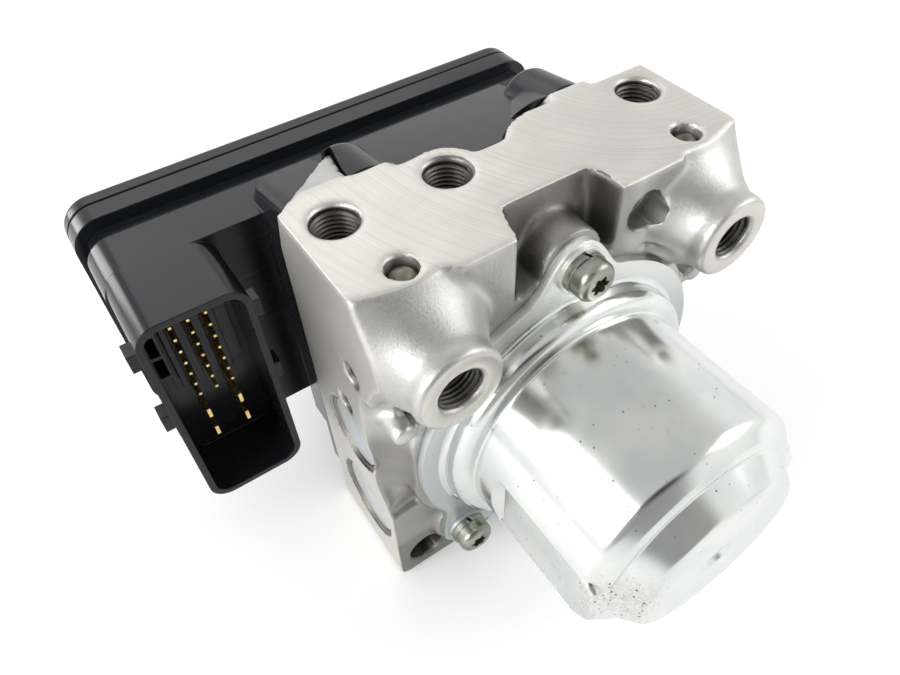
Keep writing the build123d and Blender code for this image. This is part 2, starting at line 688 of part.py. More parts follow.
def motor_can():
    """Pressed steel can with its flange, collar, rounded rim and dished end."""
    back = PAD_FACE
    face = PAD_FACE - SHEET
    collar_end = face - COLLAR_DEPTH
    outer = make_face(
        Polyline(
            (0, back),
            (COLLAR_RADIUS, back),
            (COLLAR_RADIUS, collar_end),
            (CAN_RADIUS, collar_end),
            (CAN_RADIUS, CAN_RIM_Y),
            (RIM_STEP_RADIUS, RIM_STEP_Y),
            (CONE_RADIUS, RIM_STEP_Y),
            (CONE_TOP_RADIUS, CAN_END_Y),
            (0, CAN_END_Y),
            close=True,
        )
    )
    outer = round_corner(outer, COLLAR_RADIUS, collar_end, COLLAR_ROUND)
    outer = round_corner(outer, CAN_RADIUS, CAN_RIM_Y, RIM_ROUND)
    outer = round_corner(outer, CONE_TOP_RADIUS, CAN_END_Y, CAN_END_ROUND)
    inner = make_face(
        Polyline(
            (0, back + 1),
            (COLLAR_RADIUS - SHEET, back + 1),
            (COLLAR_RADIUS - SHEET, collar_end + SHEET),
            (CAN_RADIUS - SHEET, collar_end + SHEET),
            (CAN_RADIUS - SHEET, CAN_RIM_Y + 0.6),
            (CONE_RADIUS - SHEET, RIM_STEP_Y + SHEET),
            (CONE_TOP_RADIUS - SHEET, CAN_END_Y + SHEET),
            (0, CAN_END_Y + SHEET),
            close=True,
        )
    )
    body = Pos(0, 0, MOTOR_Z) * revolve(outer, Axis.Y, 360)
    cavity = Pos(0, 0, MOTOR_Z) * revolve(inner, Axis.Y, 360)

    ridge = box(-FLAT_DISTANCE, FLAT_DISTANCE, RIM_STEP_Y - 0.5, FLAT_START_Y, -FLAT_HALF_WIDTH, FLAT_HALF_WIDTH)
    ridge = fillet(ridge.edges().filter_by(Axis.Z).sort_by(Axis.Y)[:2], 1.5)
    body += Pos(0, 0, MOTOR_Z) * ridge
    for side in (-1, 1):
        far = side * (CAN_RADIUS + 3)
        near = side * FLAT_DISTANCE
        ramp = make_face(
            Polyline(
                (near, RIM_STEP_Y - 5),
                (near, FLAT_START_Y - FLAT_RAMP),
                (near - side * 1.6, FLAT_START_Y - FLAT_RAMP + 0.1),
                (far, FLAT_START_Y + 1.0),
                (far, RIM_STEP_Y - 5),
                close=True,
            )
        )
        body -= Pos(0, 0, MOTOR_Z) * extrude(ramp, FLAT_HALF_WIDTH, both=True)

    flange = extrude(flange_outline(), SHEET)
    flange = Pos(0, back, MOTOR_Z) * Rot(90, 0, 0) * flange
    body += flange
    body -= cavity
    for x, z in screw_places():
        body -= rod_y(SCREW_HOLE_RADIUS, face - 1, back + 1, x, z)
    body -= rod_y(DIMPLE_RADIUS, CAN_END_Y - 1, CAN_END_Y + DIMPLE_DEPTH, 0, MOTOR_Z)
    cup = turned_y(
        [
            (REAR_BEARING_RADIUS + SEAT_GAP, CAN_END_Y + SHEET),
            (REAR_BEARING_RADIUS + 1.6, CAN_END_Y + SHEET - 0.2),
            (REAR_BEARING_RADIUS + 1.6, CAN_END_Y + SHEET + REAR_BEARING_WIDTH),
            (REAR_BEARING_RADIUS + SEAT_GAP, CAN_END_Y + SHEET + REAR_BEARING_WIDTH),
        ],
        z=MOTOR_Z,
    )
    return body + cup


def motor_screws():
    """Three pan head screws with six-lobed sockets."""
    face = PAD_FACE - SHEET
    head_base = face - FLAT_WASHER_THICK - SPRING_WASHER_THICK
    head = make_face(
        Polyline(
            (0, head_base),
            (SCREW_HEAD_RADIUS, head_base),
            (SCREW_HEAD_RADIUS, head_base - SCREW_HEAD_HEIGHT),
            (0, head_base - SCREW_HEAD_HEIGHT),
            close=True,
        )
    )
    head = round_corner(head, SCREW_HEAD_RADIUS, head_base - SCREW_HEAD_HEIGHT, 1.6)
    screw = revolve(head, Axis.Y, 360)
    screw += rod_y(SCREW_RADIUS, head_base, head_base + SCREW_LENGTH, 0, 0)
    socket = rod_y(SOCKET_RADIUS * 0.72, head_base - SCREW_HEAD_HEIGHT - 1, head_base - SCREW_HEAD_HEIGHT + SOCKET_DEPTH, 0, 0)
    for k in range(6):
        a = radians(60 * k)
        lobe_x = SOCKET_RADIUS * 0.72 * cos(a)
        lobe_z = SOCKET_RADIUS * 0.72 * sin(a)
        start = head_base - SCREW_HEAD_HEIGHT
        socket += rod_y(SOCKET_RADIUS * 0.28, start - 1, start + SOCKET_DEPTH, lobe_x, lobe_z)
    screw -= socket
    return group([Pos(x, 0, z) * screw for x, z in screw_places()])


def washers(radius, thick, back):
    """Three flat rings round the motor screws."""
    ring = rod_y(radius, back - thick, back, 0, 0) - rod_y(SCREW_HOLE_RADIUS, back - thick - 1, back + 1, 0, 0)
    return group([Pos(x, 0, z) * ring for x, z in screw_places()])


def spring_washers():
    """Three split spring washers."""
    back = PAD_FACE - SHEET - FLAT_WASHER_THICK
    front = back - SPRING_WASHER_THICK
    ring = rod_y(SPRING_WASHER_RADIUS, front, back, 0, 0) - rod_y(SCREW_HOLE_RADIUS, front - 1, back + 1, 0, 0)
    half = SPRING_WASHER_SPLIT / 2
    reach = 4 * SPRING_WASHER_THICK
    split = Rot(0, 0, SPRING_WASHER_TILT) * box(-half, half, -reach, reach, 0, SPRING_WASHER_RADIUS + 1)
    ring -= Pos(0, (front + back) / 2, 0) * split
    return group([Pos(x, 0, z) * ring for x, z in screw_places()])


def magnets():
    """Two curved magnets glued above and below in the can."""
    ring = rod_y(CAN_RADIUS - SHEET, MAGNET_BACK, MAGNET_FRONT, 0, 0)
    ring -= rod_y(MAGNET_INNER_RADIUS, MAGNET_BACK - 1, MAGNET_FRONT + 1, 0, 0)
    reach = CAN_RADIUS * 2
    half = radians(MAGNET_HALF_ANGLE)
    wedge = make_face(Polyline((0, 0), (-reach * sin(half), reach * cos(half)), (reach * sin(half), reach * cos(half)), close=True))
    wedge = Pos(0, MAGNET_FRONT + 1, 0) * Rot(90, 0, 0) * extrude(wedge, MAGNET_FRONT - MAGNET_BACK + 2)
    upper = ring & wedge
    lower = mirror(upper, Plane.XY)
    return group([Pos(0, 0, MOTOR_Z) * upper, Pos(0, 0, MOTOR_Z) * lower])


def ball_bearing(outer, inner, width, back):
    """Bearing ring pair with a shield, drawn as one turned ring."""
    lip = (outer - inner) * 0.28
    return turned_y(
        [
            (inner, back - width),
            (inner + lip, back - width),
            (inner + lip, back - width + 0.4),
            (outer - lip, back - width + 0.4),
            (outer - lip, back - width),
            (outer, back - width),
            (outer, back),
            (outer - lip, back),
            (outer - lip, back - 0.4),
            (inner + lip, back - 0.4),
            (inner + lip, back),
            (inner, back),
        ],
        z=MOTOR_Z,
    )


def motor_shaft():
    """Shaft with the eccentric that drives the plungers."""
    rear = CAN_END_Y + SHEET + 0.4
    shaft = rod_y(SHAFT_RADIUS, rear, SHAFT_BACK, 0, MOTOR_Z)
    cam = rod_y(CAM_RADIUS, -CAM_HALF_LENGTH, CAM_HALF_LENGTH, 0, MOTOR_Z + ECCENTRICITY)
    return shaft + cam


def eccentric_bearing():
    """Needle ring on the eccentric, against which the plungers run."""
    half = CAM_HALF_LENGTH - 0.3
    ring = rod_y(CAM_BEARING_RADIUS, -half, half, 0, MOTOR_Z + ECCENTRICITY)
    return ring - rod_y(CAM_RADIUS, -half - 1, half + 1, 0, MOTOR_Z + ECCENTRICITY)


def armature_core():
    """Slotted iron stack."""
    stack = rod_y(ARMATURE_RADIUS, ARMATURE_BACK, ARMATURE_FRONT, 0, 0)
    slot = box(SLOT_FLOOR_RADIUS, ARMATURE_RADIUS + 1, ARMATURE_BACK - 1, ARMATURE_FRONT + 1, -SLOT_WIDTH / 2, SLOT_WIDTH / 2)
    for k in range(ARMATURE_SLOTS):
        stack -= Rot(0, 360 / ARMATURE_SLOTS * k, 0) * slot
    stack -= rod_y(SHAFT_RADIUS, ARMATURE_BACK - 1, ARMATURE_FRONT + 1, 0, 0)
    return Pos(0, 0, MOTOR_Z) * stack


def armature_winding():
    """Copper that fills the slots and bulges at both ends of the stack."""
    ends = []
    for near, far in ((ARMATURE_FRONT, ARMATURE_FRONT + WINDING_OVERHANG), (ARMATURE_BACK, ARMATURE_BACK - WINDING_OVERHANG)):
        bulge = turned_y(
            [
                (SHAFT_RADIUS + 1.5, near),
                (WINDING_RADIUS, near),
                (WINDING_RADIUS, (near + far) / 2),
                (WINDING_RADIUS - 2.5, far),
                (SHAFT_RADIUS + 1.5, far),
            ]
        )
        ends.append(bulge)
    winding = ends[0] + ends[1]
    width = SLOT_WIDTH - 0.2
    bar = box(SLOT_FLOOR_RADIUS + 0.1, WINDING_RADIUS - 0.2, ARMATURE_BACK - 1, ARMATURE_FRONT + 1, -width / 2, width / 2)
    for k in range(ARMATURE_SLOTS):
        winding += Rot(0, 360 / ARMATURE_SLOTS * k, 0) * bar
    return Pos(0, 0, MOTOR_Z) * winding


def commutator():
    """Copper drum with its insulating slits."""
    start = ARMATURE_FRONT + WINDING_OVERHANG + 0.2
    end = start + COMMUTATOR_LENGTH
    drum = rod_y(COMMUTATOR_RADIUS, start, end, 0, 0) - rod_y(SHAFT_RADIUS, start - 1, end + 1, 0, 0)
    slit = box(COMMUTATOR_RADIUS - 1.0, COMMUTATOR_RADIUS + 1, start + 1.2, end + 1, -COMMUTATOR_SLIT / 2, COMMUTATOR_SLIT / 2)
    for k in range(COMMUTATOR_BARS):
        drum -= Rot(0, 360 / COMMUTATOR_BARS * (k + 0.5), 0) * slit
    return Pos(0, 0, MOTOR_Z) * drum


def commutator_middle():
    """Middle of the commutator along Y, where the brushes bear."""
    return ARMATURE_FRONT + WINDING_OVERHANG + 0.2 + COMMUTATOR_LENGTH / 2


def brush_plate():
    """Moulded plate that carries both brush holders."""
    front = BRUSH_PLATE_BACK - BRUSH_PLATE_THICK
    radius = COLLAR_RADIUS - SHEET - SEAT_GAP
    plate = rod_y(radius, front, BRUSH_PLATE_BACK, 0, 0)
    plate -= rod_y(COMMUTATOR_RADIUS + 1.5, front - 1, BRUSH_PLATE_BACK + 1, 0, 0)
    inner = COMMUTATOR_RADIUS + BRUSH_HOLDER_GAP
    outer = inner + BRUSH_LENGTH + BRUSH_SPRING_LENGTH
    w = BRUSH_WIDTH / 2 + BRUSH_HOLDER_WALL
    y0 = commutator_middle() - BRUSH_HEIGHT / 2
    holder = box(inner, outer, y0 - BRUSH_HOLDER_WALL, front + 0.5, -w, w)
    channel = box(
        inner - 1,
        outer - BRUSH_HOLDER_WALL,
        y0 - SEAT_GAP,
        y0 + BRUSH_HEIGHT + SEAT_GAP,
        -BRUSH_WIDTH / 2 - SEAT_GAP,
        BRUSH_WIDTH / 2 + SEAT_GAP,
    )
    holder -= channel
    plate += holder + mirrored(holder)
    plate -= channel + mirrored(channel)
    return Pos(0, 0, MOTOR_Z) * plate


def brushes():
    """Two carbon brushes, one on each side of the commutator."""
    y0 = commutator_middle() - BRUSH_HEIGHT / 2
    start = COMMUTATOR_RADIUS + SLIDE_GAP
    block = box(start, start + BRUSH_LENGTH, y0, y0 + BRUSH_HEIGHT, -BRUSH_WIDTH / 2, BRUSH_WIDTH / 2)
    block -= rod_y(COMMUTATOR_RADIUS + SLIDE_GAP, y0 - 1, y0 + BRUSH_HEIGHT + 1, 0, 0)
    block = Pos(0, 0, MOTOR_Z) * block
    return group([block, mirrored(block)])


def coil_spring(radius, wire, length, turns):
    """Compression spring along Z from z = 0, with round wire."""
    pitch = (length - 2 * wire) / turns
    path = Helix(pitch=pitch, height=pitch * turns, radius=radius)
    start = path.position_at(0)
    profile = Plane(origin=start, z_dir=path.tangent_at(0)) * Circle(wire)
    return Pos(0, 0, wire) * sweep(profile, path=path, is_frenet=True)


def brush_springs():
    """Springs that press the brushes inwards."""
    start = COMMUTATOR_RADIUS + SLIDE_GAP + BRUSH_LENGTH
    end = COMMUTATOR_RADIUS + BRUSH_HOLDER_GAP + BRUSH_LENGTH + BRUSH_SPRING_LENGTH - BRUSH_HOLDER_WALL
    spring = coil_spring(BRUSH_SPRING_RADIUS, BRUSH_SPRING_WIRE / 2, end - start, BRUSH_SPRING_TURNS)
    spring = Pos(start, commutator_middle(), MOTOR_Z) * Rot(0, 90, 0) * spring
    return group([spring, mirrored(spring)])


def shaft_seal():
    """Lip seal that keeps fluid out of the motor."""
    front = PAD_FACE - SEAL_OVERHANG
    back = PAD_FACE + SEAL_INSET
    seal = rod_y(FRONT_BEARING_RADIUS, front, back, 0, MOTOR_Z)
    return seal - rod_y(SHAFT_RADIUS + SLIDE_GAP, front - 1, back + 1, 0, MOTOR_Z)


def motor_terminals():
    """Two blades that carry the current from the brushes to the circuit board."""
    blades = []
    for side in (-1, 1):
        x = side * TERMINAL_X
        blade = box(
            x - TERMINAL_THICK / 2,
            x + TERMINAL_THICK / 2,
            BRUSH_PLATE_BACK,
            BOARD_Y,
            TERMINAL_Z - TERMINAL_WIDTH / 2,
            TERMINAL_Z + TERMINAL_WIDTH / 2,
        )
        blades.append(blade)
    return group(blades)


def terminal_sleeve():
    """Insulating sleeve round the terminal blades in the block."""
    sleeve = rod_y(TERMINAL_BORE_RADIUS - SEAT_GAP, PAD_FACE + 1, BLOCK_BACK - 1, 0, TERMINAL_Z)
    for side in (-1, 1):
        x = side * TERMINAL_X
        half_t = TERMINAL_THICK / 2 + SEAT_GAP
        half_w = TERMINAL_WIDTH / 2 + SEAT_GAP
        sleeve -= box(x - half_t, x + half_t, PAD_FACE, BLOCK_BACK, TERMINAL_Z - half_w, TERMINAL_Z + half_w)
    return sleeve


def plunger_inner():
    """Distance of a plunger's inner end from the motor axis at rest."""
    return CAM_BEARING_RADIUS + ECCENTRICITY + LOOSE_GAP


def pump_plunger():
    """Right pump plunger with its spring collar."""
    x0 = plunger_inner()
    rod = rod_x(PLUNGER_RADIUS, x0, x0 + PLUNGER_LENGTH, 0, MOTOR_Z)
    return rod + rod_x(PLUNGER_COLLAR_RADIUS, x0, x0 + PLUNGER_COLLAR, 0, MOTOR_Z)


def pump_cylinder():
    """Right pump cylinder, pressed into its bore."""
    x0 = CYLINDER_START
    x1 = x0 + CYLINDER_LENGTH
    sleeve = rod_x(CYLINDER_RADIUS - SLIDE_GAP, x0, x1, 0, MOTOR_Z)
    sleeve -= rod_x(PLUNGER_RADIUS + SLIDE_GAP, x0 - 1, x1 - CYLINDER_END_WALL, 0, MOTOR_Z)
    return sleeve - rod_x(OUTLET_RADIUS, x0, x1 + 1, 0, MOTOR_Z)


def pump_spring():
    """Right return spring, between the cylinder and the plunger's collar."""
    start = plunger_inner() + PLUNGER_COLLAR
    length = CYLINDER_START - start
    spring = coil_spring(PLUNGER_RADIUS + PUMP_SPRING_GAP, PUMP_SPRING_WIRE / 2, length, PUMP_SPRING_TURNS)
    return Pos(start, 0, MOTOR_Z) * Rot(0, 90, 0) * spring


def pump_check_valve():
    """Right outlet valve insert between the cylinder and the plug."""
    x0 = CYLINDER_START + CYLINDER_LENGTH + SEAT_GAP
    x1 = BLOCK_HALF_WIDTH - PLUG_RECESS - PUMP_PLUG_THICK - SEAT_GAP
    insert = rod_x(CYLINDER_RADIUS - SLIDE_GAP, x0, x1, 0, MOTOR_Z)
    insert -= rod_x(CHECK_BORE_RADIUS, x0 - 1, x1 - CHECK_END_WALL, 0, MOTOR_Z)
    return insert


def pump_plug():
    """Right pump plug, pressed in and staked."""
    x1 = BLOCK_HALF_WIDTH - PLUG_RECESS
    plug = rod_x(PUMP_PLUG_RADIUS - SLIDE_GAP, x1 - PUMP_PLUG_THICK, x1, 0, MOTOR_Z)
    return plug


def accumulator_cap():
    """Right accumulator cap."""
    x1 = BLOCK_HALF_WIDTH - PLUG_RECESS
    x0 = x1 - ACCU_CAP_THICK
    return rod_x(ACCU_CAP_RADIUS - SLIDE_GAP, x0, x1, ACCU_Y, ACCU_Z)


def accumulator_piston():
    """Right accumulator piston, a cup that opens towards its spring."""
    x0 = ACCU_BORE_END + SEAT_GAP
    x1 = x0 + PISTON_LENGTH
    piston = rod_x(ACCU_RADIUS - SLIDE_GAP, x0, x1, ACCU_Y, ACCU_Z)
    piston -= rod_x(ACCU_RADIUS - PISTON_WALL, x0 + PISTON_WALL, x1 + 1, ACCU_Y, ACCU_Z)
    ring_x = x0 + RING_PLACE
    groove_end = ring_x + RING_WIDTH + 2 * SEAT_GAP
    groove = rod_x(ACCU_RADIUS + 1, ring_x, groove_end, ACCU_Y, ACCU_Z)
    groove -= rod_x(ACCU_RADIUS - RING_THICK - SEAT_GAP, ring_x - 1, groove_end + 1, ACCU_Y, ACCU_Z)
    return piston - groove


def accumulator_ring():
    """Right piston's seal ring."""
    x0 = ACCU_BORE_END + SEAT_GAP + RING_PLACE + SEAT_GAP
    x1 = x0 + RING_WIDTH
    ring = rod_x(ACCU_RADIUS - SLIDE_GAP, x0, x1, ACCU_Y, ACCU_Z)
    return ring - rod_x(ACCU_RADIUS - RING_THICK, x0 - 1, x1 + 1, ACCU_Y, ACCU_Z)


def accumulator_spring():
    """Right accumulator spring, from the piston's cup to the cap."""
    start = ACCU_BORE_END + SEAT_GAP + PISTON_WALL
    end = BLOCK_HALF_WIDTH - PLUG_RECESS - ACCU_CAP_THICK
    spring = coil_spring(ACCU_RADIUS - PISTON_WALL - ACCU_SPRING_GAP, ACCU_SPRING_WIRE / 2, end - start, ACCU_SPRING_TURNS)
    return Pos(start, ACCU_Y, ACCU_Z) * Rot(0, 90, 0) * spring


def drilling_balls():
    """Steel balls pressed into the drillings of the top and both sides."""
    balls = []
    for x in (-TOP_DRILLING_X, TOP_DRILLING_X):
        z = BLOCK_HEIGHT - TOP_DRILLING_DEPTH + TOP_DRILLING_RADIUS
        balls.append(Pos(x, TOP_DRILLING_Y, z) * Sphere(TOP_DRILLING_RADIUS - BALL_CLEARANCE))
    for side in (-1, 1):
        for y, z in SIDE_DRILLINGS:
            x = side * (BLOCK_HALF_WIDTH - SIDE_DRILLING_DEPTH + SIDE_DRILLING_RADIUS)
            balls.append(Pos(x, y, z) * Sphere(SIDE_DRILLING_RADIUS - BALL_CLEARANCE))
    return group(balls)


def valve_body(x, z):
    """Valve cartridge with its thin dome, which stands into the coil."""
    y0 = BLOCK_BACK - VALVE_DEPTH
    dome_end = BLOCK_BACK + DOME_LENGTH
    body = rod_y(VALVE_RADIUS - SLIDE_GAP, y0, BLOCK_BACK - VALVE_FLANGE, x, z)
    body += rod_y(VALVE_FLANGE_RADIUS - SEAT_GAP, BLOCK_BACK - VALVE_FLANGE, BLOCK_BACK, x, z)
    body += rod_y(DOME_RADIUS, BLOCK_BACK, dome_end, x, z)
    needle_start = y0 + VALVE_SEAT_PLACE
    body -= rod_y(NEEDLE_RADIUS + NEEDLE_CLEARANCE, needle_start, BLOCK_BACK + 1, x, z)
    body -= rod_y(VALVE_INLET_RADIUS, y0 - 1, needle_start + 1, x, z)
    body -= rod_y(DOME_RADIUS - DOME_WALL, BLOCK_BACK + DOME_FLOOR, dome_end - DOME_END_WALL, x, z)
    return body


def armature_start():
    """Y of the inner end of a valve armature at rest."""
    return BLOCK_BACK + DOME_FLOOR + ARMATURE_GAP


def valve_armature(x, z):
    """Magnetic armature with the needle that opens or closes the valve."""
    y0 = armature_start()
    slug = rod_y(ARMATURE_PIN_RADIUS, y0, y0 + ARMATURE_PIN_LENGTH, x, z)
    needle_tip = BLOCK_BACK - VALVE_DEPTH + VALVE_SEAT_PLACE + NEEDLE_LIFT_GAP
    return slug + rod_y(NEEDLE_RADIUS, needle_tip, y0, x, z)


def valve_spring(x, z):
    """Small return spring of an armature."""
    y0 = armature_start() + ARMATURE_PIN_LENGTH
    length = BLOCK_BACK + DOME_LENGTH - DOME_END_WALL - y0
    spring = coil_spring(VALVE_SPRING_RADIUS, VALVE_SPRING_WIRE / 2, length, VALVE_SPRING_TURNS)
    return Pos(x, y0, z) * Rot(-90, 0, 0) * spring


def coil_bobbins():
    """Four moulded bobbins that slip over the valve domes."""
    y0 = BLOCK_BACK + 1.0
    y1 = y0 + COIL_LENGTH
    spool = turned_y(
        [
            (DOME_RADIUS + COIL_BORE_GAP, y0),
            (COIL_RADIUS, y0),
            (COIL_RADIUS, y0 + COIL_FLANGE),
            (DOME_RADIUS + 1.0, y0 + COIL_FLANGE),
            (DOME_RADIUS + 1.0, y1 - COIL_FLANGE),
            (COIL_RADIUS, y1 - COIL_FLANGE),
            (COIL_RADIUS, y1),
            (DOME_RADIUS + COIL_BORE_GAP, y1),
        ]
    )
    return group([Pos(x, 0, z) * spool for x, z in valve_places()])


def coil_windings():
    """Copper wire wound on the four bobbins."""
    y0 = BLOCK_BACK + 1.0 + COIL_FLANGE
    y1 = y0 + COIL_LENGTH - 2 * COIL_FLANGE
    winding = rod_y(COIL_RADIUS - 0.6, y0, y1, 0, 0) - rod_y(DOME_RADIUS + 1.0, y0 - 1, y1 + 1, 0, 0)
    return group([Pos(x, 0, z) * winding for x, z in valve_places()])


def coil_pins():
    """Pairs of solder pins from each bobbin to the circuit board."""
    pins = []
    y0 = BLOCK_BACK + 1.0 + COIL_LENGTH
    for x, z in valve_places():
        for side in (-1, 1):
            px = x + side * (COIL_RADIUS - 2)
            pins.append(box(px - 0.35, px + 0.35, y0, BOARD_Y, z - 0.35, z + 0.35))
    return group(pins)


def hump_side(top_drop=0.0):
    """Side profile of the raised roof over the coil chamber, or of the room under it."""
    y0 = BLOCK_BACK + top_drop
    return make_face(
        Polyline(
            (y0, BOX_TOP - 8),
            (y0, HUMP_FRONT_Z - top_drop),
            (HUMP_BACK_Y - top_drop / 2, HUMP_BACK_Z - top_drop),
            (HUMP_FOOT_Y - top_drop, BOX_TOP - top_drop),
            (HUMP_FOOT_Y - top_drop, BOX_TOP - 8),
            close=True,
        )
    )


def screw_tower(side):
    """Round tower over one of the upper screws, narrower and rounded at its back end."""
    front = Pos(side * TOWER_X, BLOCK_BACK, TOWER_Z) * Rot(90, 0, 0) * Circle(TOWER_FRONT_RADIUS)
    end = Pos(side * TOWER_X, TOWER_BACK, TOWER_Z - TOWER_END_DROP) * Rot(90, 0, 0) * Circle(TOWER_END_RADIUS)
    tower = loft([front, end])
    return fillet(tower.edges().sort_by(Axis.Y)[-1], TOWER_END_ROUND)


def tower_fairing():
    """Flare of the right tower towards the middle of the hump."""
    wide = Pos(TOWER_X - FAIRING_SHIFT, BLOCK_BACK, TOWER_Z) * Rot(90, 0, 0)
    wide *= Ellipse(FAIRING_HALF_WIDTH, TOWER_FRONT_RADIUS - 0.6)
    narrow = Pos(TOWER_X, TOWER_BACK - 1.5, TOWER_Z - TOWER_END_DROP) * Rot(90, 0, 0)
    narrow *= Ellipse(TOWER_END_RADIUS - 2.0, TOWER_END_RADIUS - 2.4)
    return loft([wide, narrow])


def space_beyond_web():
    """Everything above the box on the outer side of the casting's sloping web."""
    edge_x = GUSSET_TIP_X - 0.8
    far = -2 * BLOCK_HALF_WIDTH
    plan = make_face(
        Polyline(
            (-BLOCK_HALF_WIDTH, BLOCK_TOP_BACK),
            (edge_x, GUSSET_TIP_Y),
            (edge_x, TOWER_BACK + 1),
            (far, TOWER_BACK + 1),
            (far, BLOCK_TOP_BACK),
            close=True,
        )
    )
    return Pos(0, 0, BOX_TOP) * extrude(plan, BLOCK_HEIGHT)


def tongue():
    """Plastic that fills the scoop in the back edge of the block's top face."""
    slope = (HUMP_FRONT_Z - HUMP_BACK_Z) / (HUMP_BACK_Y - BLOCK_BACK)
    front_y = NOTCH_FLOOR_Y - 1
    above = make_face(
        Polyline(
            (front_y, HUMP_FRONT_Z + slope * (BLOCK_BACK - front_y)),
            (BLOCK_BACK + 2, HUMP_FRONT_Z - slope * 2),
            (BLOCK_BACK + 2, BLOCK_HEIGHT + 2),
            (front_y, BLOCK_HEIGHT + 2),
            close=True,
        )
    )
    return top_notch(LOOSE_GAP) - extrude(Plane.YZ * above, BLOCK_HALF_WIDTH, both=True)


def hump():
    """Raised sloping roof of the coil chamber with its two screw towers and its tongue."""
    left = CHAMBER_LEFT + 0.4
    right = TOWER_X + TOWER_END_RADIUS - 1
    roof = Pos(left, 0, 0) * extrude(Plane.YZ * hump_side(), right - left)
    roof = fillet(roof.faces().filter_by(Axis.X).edges().filter_by(Axis.X, reverse=True).sort_by(Axis.Z)[-4:], HUMP_SIDE_ROUND)
    roof += screw_tower(1) + tower_fairing() + tongue()
    return roof + (screw_tower(-1) - space_beyond_web())


def housing_shell():
    """Circuit box and coil chamber without the connector."""
    shell = rounded_slab(BOX_LEFT, BOX_RIGHT, BOX_LOW, BOX_TOP, BOX_FRONT, GROOVE_Y, BOX_CORNER)
    d = GROOVE_DEPTH
    shell += rounded_slab(
        BOX_LEFT + d, BOX_RIGHT - d, BOX_LOW + d, BOX_TOP - d, GROOVE_Y - 1, LID_SEAT, BOX_CORNER - d
    )
    shell += rounded_slab(CHAMBER_LEFT, CHAMBER_RIGHT, CHAMBER_LOW, BOX_TOP, BLOCK_BACK + 1, BOX_FRONT + 1, 4.0)
    m = GASKET_FLANGE_MARGIN
    w = BLOCK_HALF_WIDTH
    shell += rounded_slab(-w + m, w - m, GASKET_FLANGE_LOW, BOX_TOP, BLOCK_BACK, BLOCK_BACK + GASKET_FLANGE, 4.0)
    shell += hump()

    wall = BOX_WALL + d
    room = rounded_slab(
        BOX_LEFT + wall, BOX_RIGHT - wall, BOX_LOW + wall, BOX_TOP - wall, BOX_FRONT + BOX_WALL, LID_SEAT + 1, 2.5
    )
    c = CHAMBER_WALL
    room_low = OUTLET_Z - COIL_RADIUS - LOOSE_GAP
    room += rounded_slab(
        CHAMBER_LEFT + c, CHAMBER_RIGHT - c, room_low, BOX_TOP - c, BLOCK_BACK - 1, BOX_FRONT + BOX_WALL + 1, 2.5
    )
    attic = extrude(Plane.YZ * hump_side(HUMP_ROOF), ATTIC_HALF_WIDTH, both=True)
    return shell - room - attic


def shroud():
    """Connector shroud with its open mouth, lugs and inner ribs."""
    outer = rounded_slab(SHROUD_LEFT, SHROUD_RIGHT, BOX_LOW, BOX_TOP, SHROUD_MOUTH, BOX_FRONT + 1, SHROUD_CORNER)
    t = SHROUD_WALL
    inside = rounded_slab(
        SHROUD_LEFT + t,
        SHROUD_RIGHT - t,
        BOX_LOW + t,
        BOX_TOP - t,
        SHROUD_MOUTH - 1,
        SHROUD_FLOOR,
        SHROUD_CORNER - t,
    )
    body = outer - inside
    y0 = SHROUD_MOUTH + LUG_INSET
    y1 = y0 + LUG_DEPTH
    for drop in LUG_DROPS:
        low = BOX_TOP - drop - LUG_HALF_HEIGHT
        high = BOX_TOP - drop + LUG_HALF_HEIGHT
        body += box(SHROUD_LEFT - LUG_REACH, SHROUD_LEFT + t / 2, y0, y1, low, high)
        body += box(SHROUD_RIGHT - t / 2, SHROUD_RIGHT + LUG_REACH, y0, y1, low, high)
    return body


def connector_insert():
    """Raised platform and ladder of pockets on the connector's floor."""
    t = SHROUD_WALL
    x0 = PIN_LEFT_X - PLATFORM_MARGIN_X
    x1 = PIN_LEFT_X + PIN_PITCH_X * (PIN_COLUMNS - 1) + PLATFORM_MARGIN_X
    z1 = PIN_TOP_Z + PLATFORM_MARGIN_Z
    z0 = PIN_TOP_Z - PIN_PITCH_Z * (PIN_ROWS - 1) - PLATFORM_MARGIN_Z
    platform = box(x0, x1, PLATFORM_FRONT, SHROUD_FLOOR + 0.5, z0, z1)
    platform += box(x1 - 1, x1 + STEP_WIDTH, PLATFORM_FRONT + STEP_DROP, SHROUD_FLOOR + 0.5, z0, z1)
    g = PIN_GROOVE_WIDTH / 2
    for k in range(PIN_COLUMNS):
        x = PIN_LEFT_X + PIN_PITCH_X * k
        platform -= box(x - g, x + g, PLATFORM_FRONT - 1, PLATFORM_FRONT + PIN_GROOVE_DEPTH, z0 - 1, z1 + 1)
    ladder = box(SHROUD_LEFT + t - 0.2, x0 - 0.8, SHROUD_MOUTH + LADDER_DEPTH, SHROUD_FLOOR + 0.5, z0 + 8, BOX_TOP - 5)
    for k in range(LADDER_POCKETS):
        z = BOX_TOP - 7.0 - k * (POCKET_HEIGHT + POCKET_RUNG)
        ladder -= box(SHROUD_LEFT + t + 0.3, x0 - 1.5, SHROUD_MOUTH, SHROUD_FLOOR - 1, z - POCKET_HEIGHT, z)
    return platform + ladder


def pin_places():
    """Centres (x, z) of the signal pins."""
    places = []
    for i in range(PIN_COLUMNS):
        for j in range(PIN_ROWS):
            places.append((PIN_LEFT_X + i * PIN_PITCH_X, PIN_TOP_Z - j * PIN_PITCH_Z))
    return places


